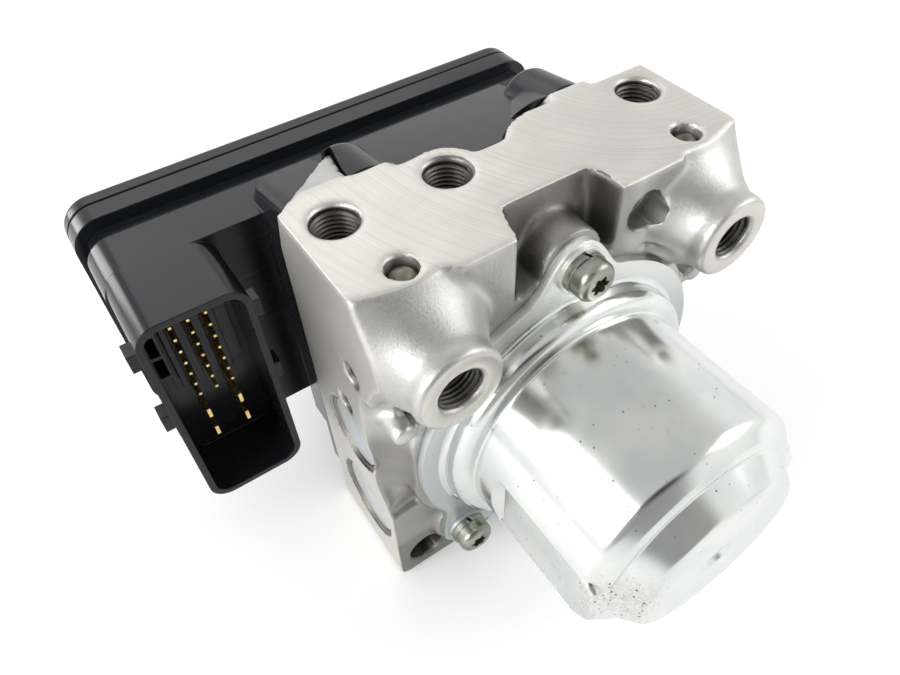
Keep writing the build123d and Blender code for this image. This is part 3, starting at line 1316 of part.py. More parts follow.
def blade_places():
    """Centres (x, z) of the four power blades."""
    low = PIN_TOP_Z - PIN_PITCH_Z * (PIN_ROWS - 1)
    right = PIN_LEFT_X + PIN_PITCH_X * (PIN_COLUMNS - 1)
    return [(x, low - k * BLADE_PITCH_Z) for x in (PIN_LEFT_X, right) for k in (1, 2)]


def control_housing():
    """Moulded housing of the control unit in one piece."""
    housing = housing_shell() + shroud() + connector_insert()
    half = PIN_SIZE / 2 + PIN_SLOT_GAP
    for x, z in pin_places():
        housing -= box(x - half, x + half, PIN_TIP, BOARD_Y, z - half, z + half)
    bx = BLADE_THICK / 2 + PIN_SLOT_GAP
    bz = BLADE_HEIGHT / 2 + PIN_SLOT_GAP
    for x, z in blade_places():
        housing -= box(x - bx, x + bx, BLADE_TIP, BOARD_Y, z - bz, z + bz)
    for (x, z), seat in zip(housing_screw_places(), housing_screw_seats()):
        housing -= rod_y(HOUSING_SCREW_RADIUS + 0.25, BLOCK_BACK - 1, seat + 1, x, z)
        housing -= rod_y(HOUSING_SCREW_HEAD_RADIUS + 0.4, seat, GROOVE_Y, x, z)
    return housing - corner_gusset(LOOSE_GAP)


def housing_screws():
    """Four screws that hold the control unit on the block."""
    screws = []
    for (x, z), seat in zip(housing_screw_places(), housing_screw_seats()):
        head = rod_y(HOUSING_SCREW_HEAD_RADIUS, seat, seat + HOUSING_SCREW_HEAD, x, z)
        head -= rod_y(1.4, seat + 1.0, seat + HOUSING_SCREW_HEAD + 1, x, z)
        screws.append(head + rod_y(HOUSING_SCREW_RADIUS, BLOCK_BACK - HOUSING_SCREW_ENGAGED, seat, x, z))
    return group(screws)


def signal_pins():
    """Small square pins of the connector."""
    half = PIN_SIZE / 2
    return group([box(x - half, x + half, PIN_TIP, BOARD_Y, z - half, z + half) for x, z in pin_places()])


def power_blades():
    """Four wide blades for the supply."""
    bx = BLADE_THICK / 2
    bz = BLADE_HEIGHT / 2
    return group([box(x - bx, x + bx, BLADE_TIP, BOARD_Y, z - bz, z + bz) for x, z in blade_places()])


def circuit_board():
    """Printed circuit board."""
    wall = BOX_WALL + GROOVE_DEPTH
    g = BOARD_GAP
    return rounded_slab(
        BOX_LEFT + wall + g,
        BOX_RIGHT - wall - g,
        BOX_LOW + wall + g,
        BOX_TOP - wall - g,
        BOARD_Y,
        BOARD_Y + BOARD_THICK,
        2.0,
    )


def control_cover():
    """Moulded lid of the circuit box."""
    r = LID_RIM
    lid = rounded_slab(
        BOX_LEFT - r, BOX_RIGHT + r, BOX_LOW - r, BOX_TOP + r, LID_SEAT + SEAT_GAP, LID_BACK, BOX_CORNER + r
    )
    rim = lid.faces().sort_by(Axis.Y)[-1].edges()
    lid = fillet(rim, LID_ROUND)
    line = LID_LINE_Y + LID_LINE_WIDTH
    band = rounded_slab(
        BOX_LEFT - 2 * r, BOX_RIGHT + 2 * r, BOX_LOW - 2 * r, BOX_TOP + 2 * r, LID_LINE_Y, line, BOX_CORNER + 2 * r
    )
    k = r - LID_LINE_DEPTH
    band -= rounded_slab(
        BOX_LEFT - k, BOX_RIGHT + k, BOX_LOW - k, BOX_TOP + k, LID_LINE_Y - 1, line + 1, BOX_CORNER + k
    )
    lid -= band
    wall = BOX_WALL + GROOVE_DEPTH
    lid -= rounded_slab(
        BOX_LEFT + wall, BOX_RIGHT - wall, BOX_LOW + wall, BOX_TOP - wall, LID_SEAT - 1, LID_BACK - LID_WALL, 2.5
    )
    return lid


NODES = {
    "valve_block": valve_block,
    "drilling_balls": drilling_balls,
    "motor_can": motor_can,
    "motor_screws": motor_screws,
    "motor_spring_washers": spring_washers,
    "motor_flat_washers": lambda: washers(FLAT_WASHER_RADIUS, FLAT_WASHER_THICK, PAD_FACE - SHEET),
    "motor_magnets": magnets,
    "motor_shaft": motor_shaft,
    "eccentric_bearing": eccentric_bearing,
    "armature_core": armature_core,
    "armature_winding": armature_winding,
    "commutator": commutator,
    "brush_plate": brush_plate,
    "brushes": brushes,
    "brush_springs": brush_springs,
    "shaft_seal": shaft_seal,
    "front_bearing": lambda: ball_bearing(
        FRONT_BEARING_RADIUS,
        SHAFT_RADIUS + SLIDE_GAP,
        FRONT_BEARING_Y - PAD_FACE - SEAL_INSET - SEAL_TO_BEARING,
        FRONT_BEARING_Y,
    ),
    "nose_bearing": lambda: ball_bearing(
        NOSE_BEARING_RADIUS, SHAFT_RADIUS + SLIDE_GAP, NOSE_BEARING_WIDTH, CHAMBER_BACK + NOSE_BEARING_WIDTH
    ),
    "rear_bearing": lambda: ball_bearing(
        REAR_BEARING_RADIUS,
        SHAFT_RADIUS + SLIDE_GAP,
        REAR_BEARING_WIDTH - 0.5,
        CAN_END_Y + SHEET + REAR_BEARING_WIDTH,
    ),
    "motor_terminals": motor_terminals,
    "terminal_sleeve": terminal_sleeve,
    "coil_bobbins": coil_bobbins,
    "coil_windings": coil_windings,
    "coil_pins": coil_pins,
    "control_housing": control_housing,
    "housing_screws": housing_screws,
    "control_cover": control_cover,
    "circuit_board": circuit_board,
    "signal_pins": signal_pins,
    "power_blades": power_blades,
}

SIDE_NODES = {
    "pump_plunger": pump_plunger,
    "pump_cylinder": pump_cylinder,
    "pump_spring": pump_spring,
    "pump_check_valve": pump_check_valve,
    "pump_plug": pump_plug,
    "accumulator_cap": accumulator_cap,
    "accumulator_piston": accumulator_piston,
    "accumulator_ring": accumulator_ring,
    "accumulator_spring": accumulator_spring,
}

VALVE_NAMES = ("inlet_left", "inlet_right", "outlet_left", "outlet_right")

for name, make in NODES.items():
    export_step(make(), f"parts/{name}.step")

for name, make in SIDE_NODES.items():
    right = make()
    export_step(right, f"parts/{name}_right.step")
    export_step(mirrored(right), f"parts/{name}_left.step")

for name, (x, z) in zip(VALVE_NAMES, valve_places()):
    export_step(valve_body(x, z), f"parts/valve_{name}.step")
    export_step(valve_armature(x, z), f"parts/armature_{name}.step")

export_step(group([valve_spring(x, z) for x, z in valve_places()]), "parts/valve_springs.step")
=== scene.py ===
# %% [markdown]
# # A motorcycle anti-lock brake unit
#
# The unit has three large pieces: a cast and drilled aluminium valve block in the middle, a bright
# zinc-plated pump motor in front of it, and a glossy black control unit behind. This notebook starts
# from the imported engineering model, which already has every piece at its real size and place, and
# dresses it: the castings get their soft edges, the ports their threads, and each surface the finish
# that the real one has.
#
# Everything is in metres. X runs to the right across the block, Y from the motor back to the control
# unit, and Z up from the bottom face of the block.

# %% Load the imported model
import json
import math

import bmesh
import bpy
from mathutils import Matrix, Vector


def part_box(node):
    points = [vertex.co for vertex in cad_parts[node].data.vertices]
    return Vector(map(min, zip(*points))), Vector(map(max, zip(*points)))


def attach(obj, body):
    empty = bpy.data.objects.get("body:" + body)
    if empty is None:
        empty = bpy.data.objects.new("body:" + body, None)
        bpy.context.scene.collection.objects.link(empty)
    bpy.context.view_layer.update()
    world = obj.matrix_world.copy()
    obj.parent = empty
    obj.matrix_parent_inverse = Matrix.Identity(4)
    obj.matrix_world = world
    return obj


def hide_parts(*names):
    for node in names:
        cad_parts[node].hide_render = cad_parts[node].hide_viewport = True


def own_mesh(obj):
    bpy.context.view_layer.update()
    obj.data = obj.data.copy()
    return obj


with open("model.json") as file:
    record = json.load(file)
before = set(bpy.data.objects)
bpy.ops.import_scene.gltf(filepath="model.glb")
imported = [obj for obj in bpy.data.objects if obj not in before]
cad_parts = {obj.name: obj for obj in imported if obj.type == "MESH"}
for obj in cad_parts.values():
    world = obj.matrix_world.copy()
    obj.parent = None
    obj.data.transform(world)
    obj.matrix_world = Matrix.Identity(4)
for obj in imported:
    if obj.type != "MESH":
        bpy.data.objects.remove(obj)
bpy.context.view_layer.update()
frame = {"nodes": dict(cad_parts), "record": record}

nodes = frame["nodes"]

# %% [markdown]
# ## Sizes
#
# A material has to know where a milled face or a bore is, and the mesh steps have to cut those same
# places. Both read the values below, in millimetres, so that a colour can't drift away from its hole.

# %% Sizes that several steps share
MM = 0.001
SIDE_X = 44.0
BLOCK_TOP = 99.5
MOTOR_Z = 46.5
PORT_Y, OUTER_PORT_X, MIDDLE_PORT_X = 6.0, 36.1, -12.2
BOSS_X, BOSS_Z, BOSS_END = 32.7, 83.9, -28.5
PUMP_Z = 46.5
ACCUMULATOR_Y, ACCUMULATOR_Z = -1.0, 19.5
print("block half width", SIDE_X, "mm, top at", BLOCK_TOP, "mm")

# %% [markdown]
# ## Camera
#
# The camera comes first, because every later choice is judged through it. Its place, direction and
# focal length were solved from the mouths of the five pipe ports, which are circles of a known size,
# so the rendered edges fall on the photographed ones. The view is close, about 20 cm away, which is
# why the perspective is strong.


# %% Place the camera
def place_camera(position, forward, roll_degrees, focal_pixels, width_pixels=900):
    """Camera at a position, looking along forward, with a small roll about that line."""
    data = bpy.data.cameras.new("camera")
    data.sensor_fit = "HORIZONTAL"
    data.sensor_width = 36.0
    data.lens = focal_pixels * data.sensor_width / width_pixels
    data.clip_start = 0.005
    camera = bpy.data.objects.new("camera", data)
    bpy.context.scene.collection.objects.link(camera)
    turn = Vector(forward).to_track_quat("-Z", "Y").to_matrix().to_4x4()
    roll = Matrix.Rotation(math.radians(roll_degrees), 4, "Z")
    camera.matrix_world = Matrix.Translation(Vector(position) * MM) @ turn @ roll
    bpy.context.scene.camera = camera
    return camera


camera = place_camera((-72.91, -89.60, 181.34), (0.3488, 0.5599, -0.7516), -2.77, 728.9)
print("lens", round(camera.data.lens, 2), "mm")

# %% [markdown]
# ## Shader maths as Python
#
# A procedural material is a small program made of nodes. Wiring nodes by hand hides the formula, so
# two small classes let the formula be written as Python. `Wire` holds one socket, and adding or
# multiplying wires adds the Math nodes. `Finish` holds one material and has a single method, `node`,
# that adds any other node: settings first, then the values or wires of its inputs.


# %% Wire
class Wire:
    """One value in a shader, which can be used in sums, products and comparisons."""

    def __init__(self, finish, socket):
        self.finish = finish
        self.socket = socket

    def maths(self, operation, *values):
        return self.finish.node("ShaderNodeMath", {"operation": operation}, *values)

    def __add__(self, other):
        return self.maths("ADD", self, other)

    def __radd__(self, other):
        return self.maths("ADD", other, self)

    def __sub__(self, other):
        return self.maths("SUBTRACT", self, other)

    def __rsub__(self, other):
        return self.maths("SUBTRACT", other, self)

    def __mul__(self, other):
        return self.maths("MULTIPLY", self, other)

    def __rmul__(self, other):
        return self.maths("MULTIPLY", other, self)

    def __gt__(self, other):
        return self.maths("GREATER_THAN", self, other)

    def __lt__(self, other):
        return self.maths("LESS_THAN", self, other)

    def __abs__(self):
        return self.maths("ABSOLUTE", self)

    def __pow__(self, power):
        return self.maths("POWER", self, power)

    def at_most(self, limit):
        return self.maths("MINIMUM", self, limit)

    def fade(self, low, high):
        """0 below low, 1 above high, and smooth between them."""
        return self.finish.node(
            "ShaderNodeMapRange", {"interpolation_type": "SMOOTHSTEP"}, self, low, high, 0.0, 1.0
        )


print("Wire ready")


# %% Finish
class Finish:
    """A material, or a world, with one method that adds nodes to it."""

    def __init__(self, name, kind=None):
        self.material = (bpy.data.materials if kind is None else kind).new(name)
        self.material.use_nodes = True
        self.tree = self.material.node_tree
        self.tree.nodes.clear()

    def feed(self, socket, value):
        if isinstance(value, Wire):
            self.tree.links.new(value.socket, socket)
        elif socket.type == "RGBA" and len(value) == 3:
            socket.default_value = (*value, 1.0)
        else:
            socket.default_value = value

    def node(self, kind, settings=None, *values, output=0, at=None, **named):
        """New node: its settings first, then its sockets in order, by number and by name."""
        new = self.tree.nodes.new(kind)
        for key, value in (settings or {}).items():
            setattr(new, key, value)
        for index, value in [*enumerate(values), *(at or {}).items()]:
            self.feed(new.inputs[index], value)
        for key, value in named.items():
            self.feed(new.inputs[key.replace("_", " ")], value)
        if isinstance(output, tuple):
            return [Wire(self, new.outputs[name]) for name in output]
        return Wire(self, new.outputs[output]) if new.outputs else None

    def mix(self, share, first, second):
        """Blend of two colours by a share from 0 to 1."""
        sockets = {0: share, 6: first, 7: second}
        return self.node("ShaderNodeMix", {"data_type": "RGBA"}, output=2, at=sockets)

    def place(self):
        """Point on the piece, in metres, fixed to the piece."""
        return self.node("ShaderNodeTexCoord", output="Object")

    def facing(self):
        """Which way the surface faces, fixed to the piece."""
        return self.node("ShaderNodeTexCoord", output="Normal")

    def axes(self, vector):
        """The three numbers of a vector."""
        return self.node("ShaderNodeSeparateXYZ", None, vector, output=("X", "Y", "Z"))

    def stretch(self, vector, scale):
        """A vector with each of its numbers multiplied."""
        return self.node("ShaderNodeVectorMath", {"operation": "MULTIPLY"}, vector, scale)

    def noise(self, size_mm, detail=2.0, roughness=0.5):
        """Soft random value whose features are about size_mm across."""
        return self.node(
            "ShaderNodeTexNoise",
            None,
            Vector=self.place(),
            Scale=1000.0 / size_mm,
            Detail=detail,
            Roughness=roughness,
        )

    def bump(self, height, depth_mm, strength=1.0, normal=None):
        named = {"Height": height, "Distance": depth_mm * MM, "Strength": strength}
        if normal is not None:
            named["Normal"] = normal
        return self.node("ShaderNodeBump", None, **named)

    def soft_edges(self, radius_mm):
        """Normals rounded over sharp edges, as a deburred edge catches light."""
        return self.node("ShaderNodeBevel", {"samples": 6}, Radius=radius_mm * MM)

    def worn_and_highlit_edges(self, radius_mm):
        """1 near sharp edges, where the rounded normal departs from the flat one, and 0 elsewhere."""
        flat = self.node("ShaderNodeNewGeometry", None, output="Normal")
        soft = self.soft_edges(radius_mm)
        product = {"operation": "DOT_PRODUCT"}
        likeness = self.node("ShaderNodeVectorMath", product, soft, flat, output="Value")
        return (1.0 - likeness).fade(0.02, 0.30)

    def surface(self, **sockets):
        """The shader itself, with its sockets named as in Blender but with _ for spaces."""
        shader = self.node("ShaderNodeBsdfPrincipled", None, **sockets)
        self.node("ShaderNodeOutputMaterial", None, Surface=shader)
        return self.material


print("Finish ready")

# %% [markdown]
# ## Cast and milled aluminium
#
# The block starts as a die casting with a fine, dull grey skin. A mill then cuts the faces that
# matter: the top, the ends of the front bosses, the fronts of the feet. One material serves both,
# because the piece is one piece: a mask that is 1 on a milled face picks the paler colour and the
# faint cutter lines, which run in arcs round the mill's centre. The mask comes from where the surface
# lies and which way it faces. On the fronts of the feet it is only 0.15, so painted shade keeps them
# near the darker skin. Three more masks darken the metal by place with painted shade: in the hollows,
# behind the can, on the feet and underneath, with some real film there too; on the walls of the plug
# seats; and down the ports.


# %% Where the block is milled, dark or bored
CUTTER_CENTRE = (42.0, 20.0)


def milled_mask(finish):
    """1 on the faces that the mill has cut, but only 0.15 on the fronts of the feet, as painted shade."""
    x, y, z = finish.axes(finish.place())
    nx, ny, nz = finish.axes(finish.facing())
    top = (nz > 0.9) * (z > (BLOCK_TOP - 0.6) * MM)
    bosses = (ny < -0.9) * (y < (BOSS_END + 0.3) * MM)
    feet = (ny < -0.95) * (z < 31.0 * MM) * (y < -15.0 * MM)
    sides = (abs(nx) > 0.97) * (abs(x) > (SIDE_X - 0.3) * MM)
    # The fronts of the feet count only 0.15, so painted shade keeps them near the darker skin.
    return (top + bosses + feet * 0.15 + sides).at_most(1.0)


def film_and_painted_shade(finish):
    """Painted shade, with some real film: above the motor, behind the can, on the feet and underneath."""
    x, y, z = finish.axes(finish.place())
    nz = finish.axes(finish.facing())[2]
    above_motor = (y + 24.0 * MM).fade(0.0, 12.0 * MM) * (z - 60.0 * MM).fade(0.0, 10.0 * MM)
    hollow = above_motor * (16.0 * MM - abs(x)).fade(0.0, 5.0 * MM)
    behind_flange = (y + 19.0 * MM).fade(0.0, 3.0 * MM)
    behind_can = behind_flange * (60.0 * MM - z).fade(0.0, 8.0 * MM)
    foot = behind_flange * (18.0 * MM - z).fade(0.0, 4.0 * MM)
    under = (nz * -1.0).fade(0.15, 0.85)
    return (hollow * 0.80 + behind_can * 0.55 + foot * 0.50 + under * 0.70).at_most(0.88)


def within(radius_mm, across, along):
    """1 closer than a radius to the line where both distances are 0."""
    return (across * across + along * along) < (radius_mm * MM) ** 2


def painted_seat_shade(finish):
    """1 on the walls of the plug seats, behind their bright rims, for painted shade."""
    x, y, z = finish.axes(finish.place())
    pump = within(10.0, y, z - PUMP_Z * MM)
    accumulator = within(11.2, y - ACCUMULATOR_Y * MM, z - ACCUMULATOR_Z * MM)
    return (pump + accumulator).at_most(1.0) * (abs(x) < (SIDE_X - 0.5) * MM)


def painted_port_shade(finish):
    """0 at the mouth of a port and 1 deep inside it, for painted shade down the bore."""
    x, y, z = finish.axes(finish.place())
    outer = within(4.9, abs(x) - OUTER_PORT_X * MM, y - PORT_Y * MM)
    middle = within(4.9, x - MIDDLE_PORT_X * MM, y - PORT_Y * MM)
    front = within(4.9, abs(x) - BOSS_X * MM, z - BOSS_Z * MM)
    down = (outer + middle) * ((BLOCK_TOP - 0.3) * MM - z).fade(0.0, 5.0 * MM)
    inward = front * (y - (BOSS_END + 0.3) * MM).fade(0.0, 5.0 * MM)
    return (down + inward).at_most(1.0)


print("masks for the block ready")


# %% Aluminium of the valve block
def cutter_lines(finish):
    """Noise that changes only with the distance from the mill's centre, so it draws arcs."""
    x, y, z = finish.axes(finish.place())
    across = x - CUTTER_CENTRE[0] * MM
    along = y - CUTTER_CENTRE[1] * MM
    reach = (across * across + along * along) ** 0.5
    phase = reach * 1500.0 + z * 900.0
    return finish.node("ShaderNodeTexNoise", {"noise_dimensions": "1D"}, W=phase, Scale=1.0)


def cast_aluminium():
    finish = Finish("cast_aluminium")
    milled = milled_mask(finish)
    cutter = cutter_lines(finish)
    grain = finish.noise(0.5, detail=4.0, roughness=0.6)
    cloud = finish.noise(14.0, detail=3.0)
    skin = finish.mix(cloud.fade(0.3, 0.7), (0.44, 0.438, 0.422), (0.62, 0.615, 0.59))
    skin = finish.mix(grain.fade(0.35, 0.7) * 0.35, skin, (0.62, 0.61, 0.58))
    # Painted shade, with some real film, above the motor, behind the can, on the feet and underneath.
    skin = finish.mix(film_and_painted_shade(finish), skin, (0.15, 0.145, 0.135))
    bright = finish.mix(cloud.fade(0.25, 0.75), (0.65, 0.635, 0.585), (0.73, 0.715, 0.66))
    bright = finish.mix(cutter.fade(0.35, 0.75) * 0.35, bright, (0.55, 0.545, 0.51))
    colour = finish.mix(milled, skin, bright)
    # Painted shade on the walls of the plug seats.
    colour = finish.mix(painted_seat_shade(finish) * 0.7, colour, (0.22, 0.21, 0.18))
    # Painted shade deep in the ports.
    colour = finish.mix(painted_port_shade(finish) * 0.85, colour, (0.07, 0.065, 0.055))
    rubbed_and_highlit = finish.worn_and_highlit_edges(0.5)
    # Edges lighter, partly real wear and partly painted highlight.
    colour = finish.mix(rubbed_and_highlit * 0.6, colour, (0.80, 0.79, 0.76))
    rough = 0.40 + grain * 0.10 + cutter * milled * 0.10 - rubbed_and_highlit * 0.12
    height = grain * (1.0 - milled * 0.85) + cutter * milled * 0.25
    normal = finish.bump(height, 0.10, 0.55, finish.soft_edges(0.35))
    return finish.surface(Base_Color=colour, Metallic=1.0, Roughness=rough, Normal=normal)


ALUMINIUM = cast_aluminium()
print("finish:", ALUMINIUM.name)

# %% [markdown]
# ## Bright zinc plate
#
# The motor can is drawn from sheet steel and plated. Zinc is a cool, slightly blue white, and the
# drawing leaves fine scratches around and along the can. The plate is a mirror with a soft haze, so
# the roughness changes in broad clouds. Dark specks are the points of a Voronoi texture, which are
# small round dots when only the nearest part of each cell is kept. They lie close together, with some
# grime, at the low left corner of the rim. The flange is duller than the can, and painted light and
# shade make it darker towards its foot and lighter at its top.


# %% Zinc of the motor can
def low_left_rim(finish):
    """1 at the low left corner of the can's end, where grime has gathered."""
    x, y, z = finish.axes(finish.place())
    near_end = (y * -1.0).fade(54.0 * MM, 59.0 * MM)
    left = (x * -1.0).fade(10.0 * MM, 20.0 * MM)
    low = (60.0 * MM - z).fade(0.0, 10.0 * MM)
    return near_end * left * low


def dots(finish, per_metre):
    """Distance to the nearest of many scattered points, as a share of their spacing."""
    return finish.node("ShaderNodeTexVoronoi", {"feature": "F1"}, Vector=finish.place(), Scale=per_metre)


def zinc_plate():
    finish = Finish("zinc_plate")
    cloud = finish.noise(13.0, detail=3.0, roughness=0.5)
    haze = finish.noise(30.0, detail=1.0)
    fine = finish.noise(0.6, detail=3.0)
    along = finish.stretch(finish.place(), (2600.0, 60.0, 2600.0))
    drawn = finish.node("ShaderNodeTexNoise", None, Vector=along, Scale=1.0, Detail=2.0)
    colour = finish.mix(cloud.fade(0.3, 0.7), (0.69, 0.71, 0.70), (0.81, 0.82, 0.795))
    colour = finish.mix(haze.fade(0.5, 0.75) * 0.5, colour, (0.62, 0.66, 0.67))
    corner = low_left_rim(finish)
    speckled = finish.noise(4.0) > 0.44 - corner * 0.3
    specks = (dots(finish, 420.0) < 0.080 + corner * 0.04) * speckled
    dusty = corner * 0.8 + finish.noise(9.0).fade(0.60, 0.66) * 0.25
    dirt = (dots(finish, 800.0) < 0.22) * (fine > 0.50) * dusty
    colour = finish.mix(corner * fine.fade(0.35, 0.60) * 0.40, colour, (0.42, 0.40, 0.37))
    colour = finish.mix((specks + dirt).at_most(0.85), colour, (0.12, 0.10, 0.08))
    x, y, z = finish.axes(finish.place())
    flange = (y > -21.0 * MM) * (1.0 - within(33.5, x, z - MOTOR_Z * MM))
    # Painted light and shade by height: the flange is darker towards its foot and lighter at its top.
    painted_flange_shade = finish.mix((z - 50.0 * MM).fade(0.0, 30.0 * MM), (0.48, 0.52, 0.52), (0.80, 0.81, 0.78))
    colour = finish.mix(flange * 0.85, colour, painted_flange_shade)
    rough = 0.12 + cloud * 0.10 + drawn * 0.05 + dirt * 0.5 + specks * 0.4 + flange * 0.26
    height = drawn * 0.35 + fine * 0.20 + cloud * 0.35
    normal = finish.bump(height, 0.05, 0.22, finish.soft_edges(0.3))
    return finish.surface(Base_Color=colour, Metallic=1.0, Roughness=rough, Normal=normal)


ZINC = zinc_plate()
print("finish:", ZINC.name)

# %% [markdown]
# ## Glossy black plastic
#
# The control unit is moulded from glass-filled nylon against a polished tool. Seen flat on it is
# nearly black, and at a low angle it mirrors the white room, so nothing but a low roughness is needed
# for the grey sheen. Two things keep it from looking like paint: a very shallow waviness from the
# moulding, and dust with hairline scratches that dull the gloss in places.


# %% Plastic of the control unit
def black_plastic():
    finish = Finish("black_plastic")
    wave = finish.noise(18.0, detail=1.0)
    dust = finish.noise(0.35, detail=2.0)
    patch = finish.noise(22.0, detail=3.0)
    hair = finish.stretch(finish.place(), (90.0, 900.0, 2400.0))
    scratch = finish.node("ShaderNodeTexNoise", None, Vector=hair, Scale=1.0, Detail=3.0)
    line = scratch.fade(0.66, 0.70) * patch.fade(0.45, 0.6)
    dusty = (dust > 0.70) * patch.fade(0.4, 0.7)
    colour = finish.mix(dusty * 0.20 + line * 0.035, (0.010, 0.011, 0.013), (0.14, 0.135, 0.13))
    rough = 0.16 + patch * 0.10 + dusty * 0.3 + line * 0.08
    normal = finish.bump(wave + dust * 0.02, 0.25, 0.25, finish.soft_edges(0.45))
    return finish.surface(
        Base_Color=colour, Metallic=0.0, Roughness=rough, Specular_IOR_Level=0.30, Normal=normal
    )


PLASTIC = black_plastic()
print("finish:", PLASTIC.name)

# %% [markdown]
# ## The smaller finishes
#
# The rest of the pieces share a few recipes. A bare metal recipe takes a colour, a roughness and the
# size of its grain, and serves screws, turned plugs, bearings, springs and gold pins. A dull recipe
# does the same for rubber, carbon, magnets and brown mouldings. Each still has its own colour
# variation and bump. The balls in the small drillings and the threads in the ports have finishes of
# their own, darker than their pieces' slots. The threads' dark colour is painted shade deep in the
# ports.


# %% Recipes for bare metal and for dull pieces
def bare_metal(name, light, dark, rough, grain_mm, depth_mm=0.03, edge=0.15):
    """Metal with a random grain and stain, lighter on its edges as wear and painted highlight."""
    finish = Finish(name)
    grain = finish.noise(grain_mm, detail=3.0)
    stain = finish.noise(grain_mm * 8.0, detail=2.0)
    rubbed_and_highlit = finish.worn_and_highlit_edges(0.3)
    colour = finish.mix(stain.fade(0.3, 0.7), dark, light)
    # Edges lighter, partly real wear and partly painted highlight.
    colour = finish.mix(rubbed_and_highlit * 0.5, colour, [min(1.0, c * 1.25) for c in light])
    roughness = rough - 0.06 + grain * 0.14
    normal = finish.bump(grain, depth_mm, 0.5, finish.soft_edges(edge))
    return finish.surface(Base_Color=colour, Metallic=1.0, Roughness=roughness, Normal=normal)


def dull(name, light, dark, rough, grain_mm, depth_mm=0.04):
    """Matt material with a fine mottled grain."""
    finish = Finish(name)
    grain = finish.noise(grain_mm, detail=3.0)
    stain = finish.noise(grain_mm * 10.0, detail=2.0)
    colour = finish.mix(stain.fade(0.3, 0.7), dark, light)
    normal = finish.bump(grain, depth_mm, 0.6, finish.soft_edges(0.2))
    return finish.surface(Base_Color=colour, Roughness=rough + grain * 0.1, Normal=normal)


print("recipes ready")

# %% Finishes of the smaller pieces
FINISHES = {
    "cast_aluminium": ALUMINIUM,
    "zinc_plate": ZINC,
    "black_plastic": PLASTIC,
    "plug_aluminium": bare_metal("turned_aluminium", (0.71, 0.74, 0.745), (0.62, 0.65, 0.655), 0.36, 0.5),
    "screw_steel": bare_metal("plated_screw_steel", (0.43, 0.435, 0.38), (0.24, 0.245, 0.21), 0.30, 0.6),
    "bearing_steel": bare_metal("bearing_steel", (0.62, 0.62, 0.61), (0.50, 0.50, 0.50), 0.22, 0.4),
    "spring_steel": bare_metal("spring_wire", (0.42, 0.42, 0.43), (0.30, 0.30, 0.31), 0.30, 0.3),
    "core_iron": bare_metal("core_iron", (0.30, 0.30, 0.32), (0.20, 0.20, 0.22), 0.45, 0.4),
    "copper": bare_metal("enamelled_copper", (0.72, 0.36, 0.18), (0.50, 0.22, 0.10), 0.30, 0.5),
    "tinned_copper": bare_metal("tinned_copper", (0.70, 0.70, 0.67), (0.58, 0.58, 0.56), 0.30, 0.4),
    "gold": bare_metal("gold_flash", (0.90, 0.68, 0.30), (0.72, 0.50, 0.18), 0.25, 0.3),
    "magnet": dull("magnet_ceramic", (0.10, 0.10, 0.11), (0.07, 0.07, 0.075), 0.60, 0.4),
    "carbon": dull("brush_carbon", (0.07, 0.07, 0.072), (0.045, 0.045, 0.047), 0.62, 0.3),
    "seal_rubber": dull("seal_rubber", (0.045, 0.045, 0.045), (0.028, 0.028, 0.028), 0.55, 0.4),
    "brown_plastic": dull("brown_moulding", (0.17, 0.11, 0.075), (0.13, 0.085, 0.055), 0.42, 0.4),
    "board": dull("board_lacquer", (0.05, 0.24, 0.12), (0.04, 0.18, 0.09), 0.32, 0.5),
}
# Steel balls in the small drillings, darker and browner than bearing steel.
DARK_BALLS = bare_metal("dark_steel_balls", (0.26, 0.24, 0.20), (0.13, 0.11, 0.09), 0.45, 0.8)
# The threads' darker copy of the metal is painted shade deep in the ports.
TAPPED = bare_metal("tapped_threads", (0.15, 0.145, 0.13), (0.09, 0.085, 0.075), 0.42, 0.4)
print("finishes:", len(FINISHES) + 2)


# %% Give every CAD node its finish
slots = {part["node"]: part["material_slot"] for part in frame["record"]["subparts"]}
for name, node in nodes.items():
    node.data.materials.clear()
    node.data.materials.append(DARK_BALLS if name == "drilling_balls" else FINISHES[slots[name]])
print("dressed nodes:", len(slots))

# %% [markdown]
# ## Making meshes
#
# The helpers below cover nearly every piece that needs a finer mesh than the CAD one. `rounded` turns
# a corner of a profile into an arc, `lathe` spins a profile round an axis along Y, and `settle`
# applies modifiers, so that a boolean or a bevel ends as plain geometry. Edges sharper than a chosen
# angle stay sharp when shaded.


# %% Pieces and their shading
def new_piece(name, mesh, slot, body="root", finish=None):
    """A visible piece that rides on a body and takes a slot's finish, or a special one of its own."""
    piece = bpy.data.objects.new(name, mesh)
    bpy.context.scene.collection.objects.link(piece)
    mesh.materials.clear()
    mesh.materials.append(FINISHES[slot] if finish is None else finish)
    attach(piece, body)
    return piece


def shade(mesh, angle_degrees):
    """Smooth shading that keeps edges sharper than an angle."""
    mesh.polygons.foreach_set("use_smooth", [True] * len(mesh.polygons))
    mesh.set_sharp_from_angle(angle=math.radians(angle_degrees))
    return mesh


print("piece helpers ready")

# %% [markdown]
# ### Round pieces
#
# Half of this unit is turned or drawn, so a profile and an axis describe it fully. A profile is a
# list of corners, each with a radius where the real corner is rounded. The arc of a corner touches
# both its lines, and its centre lies on their bisector.


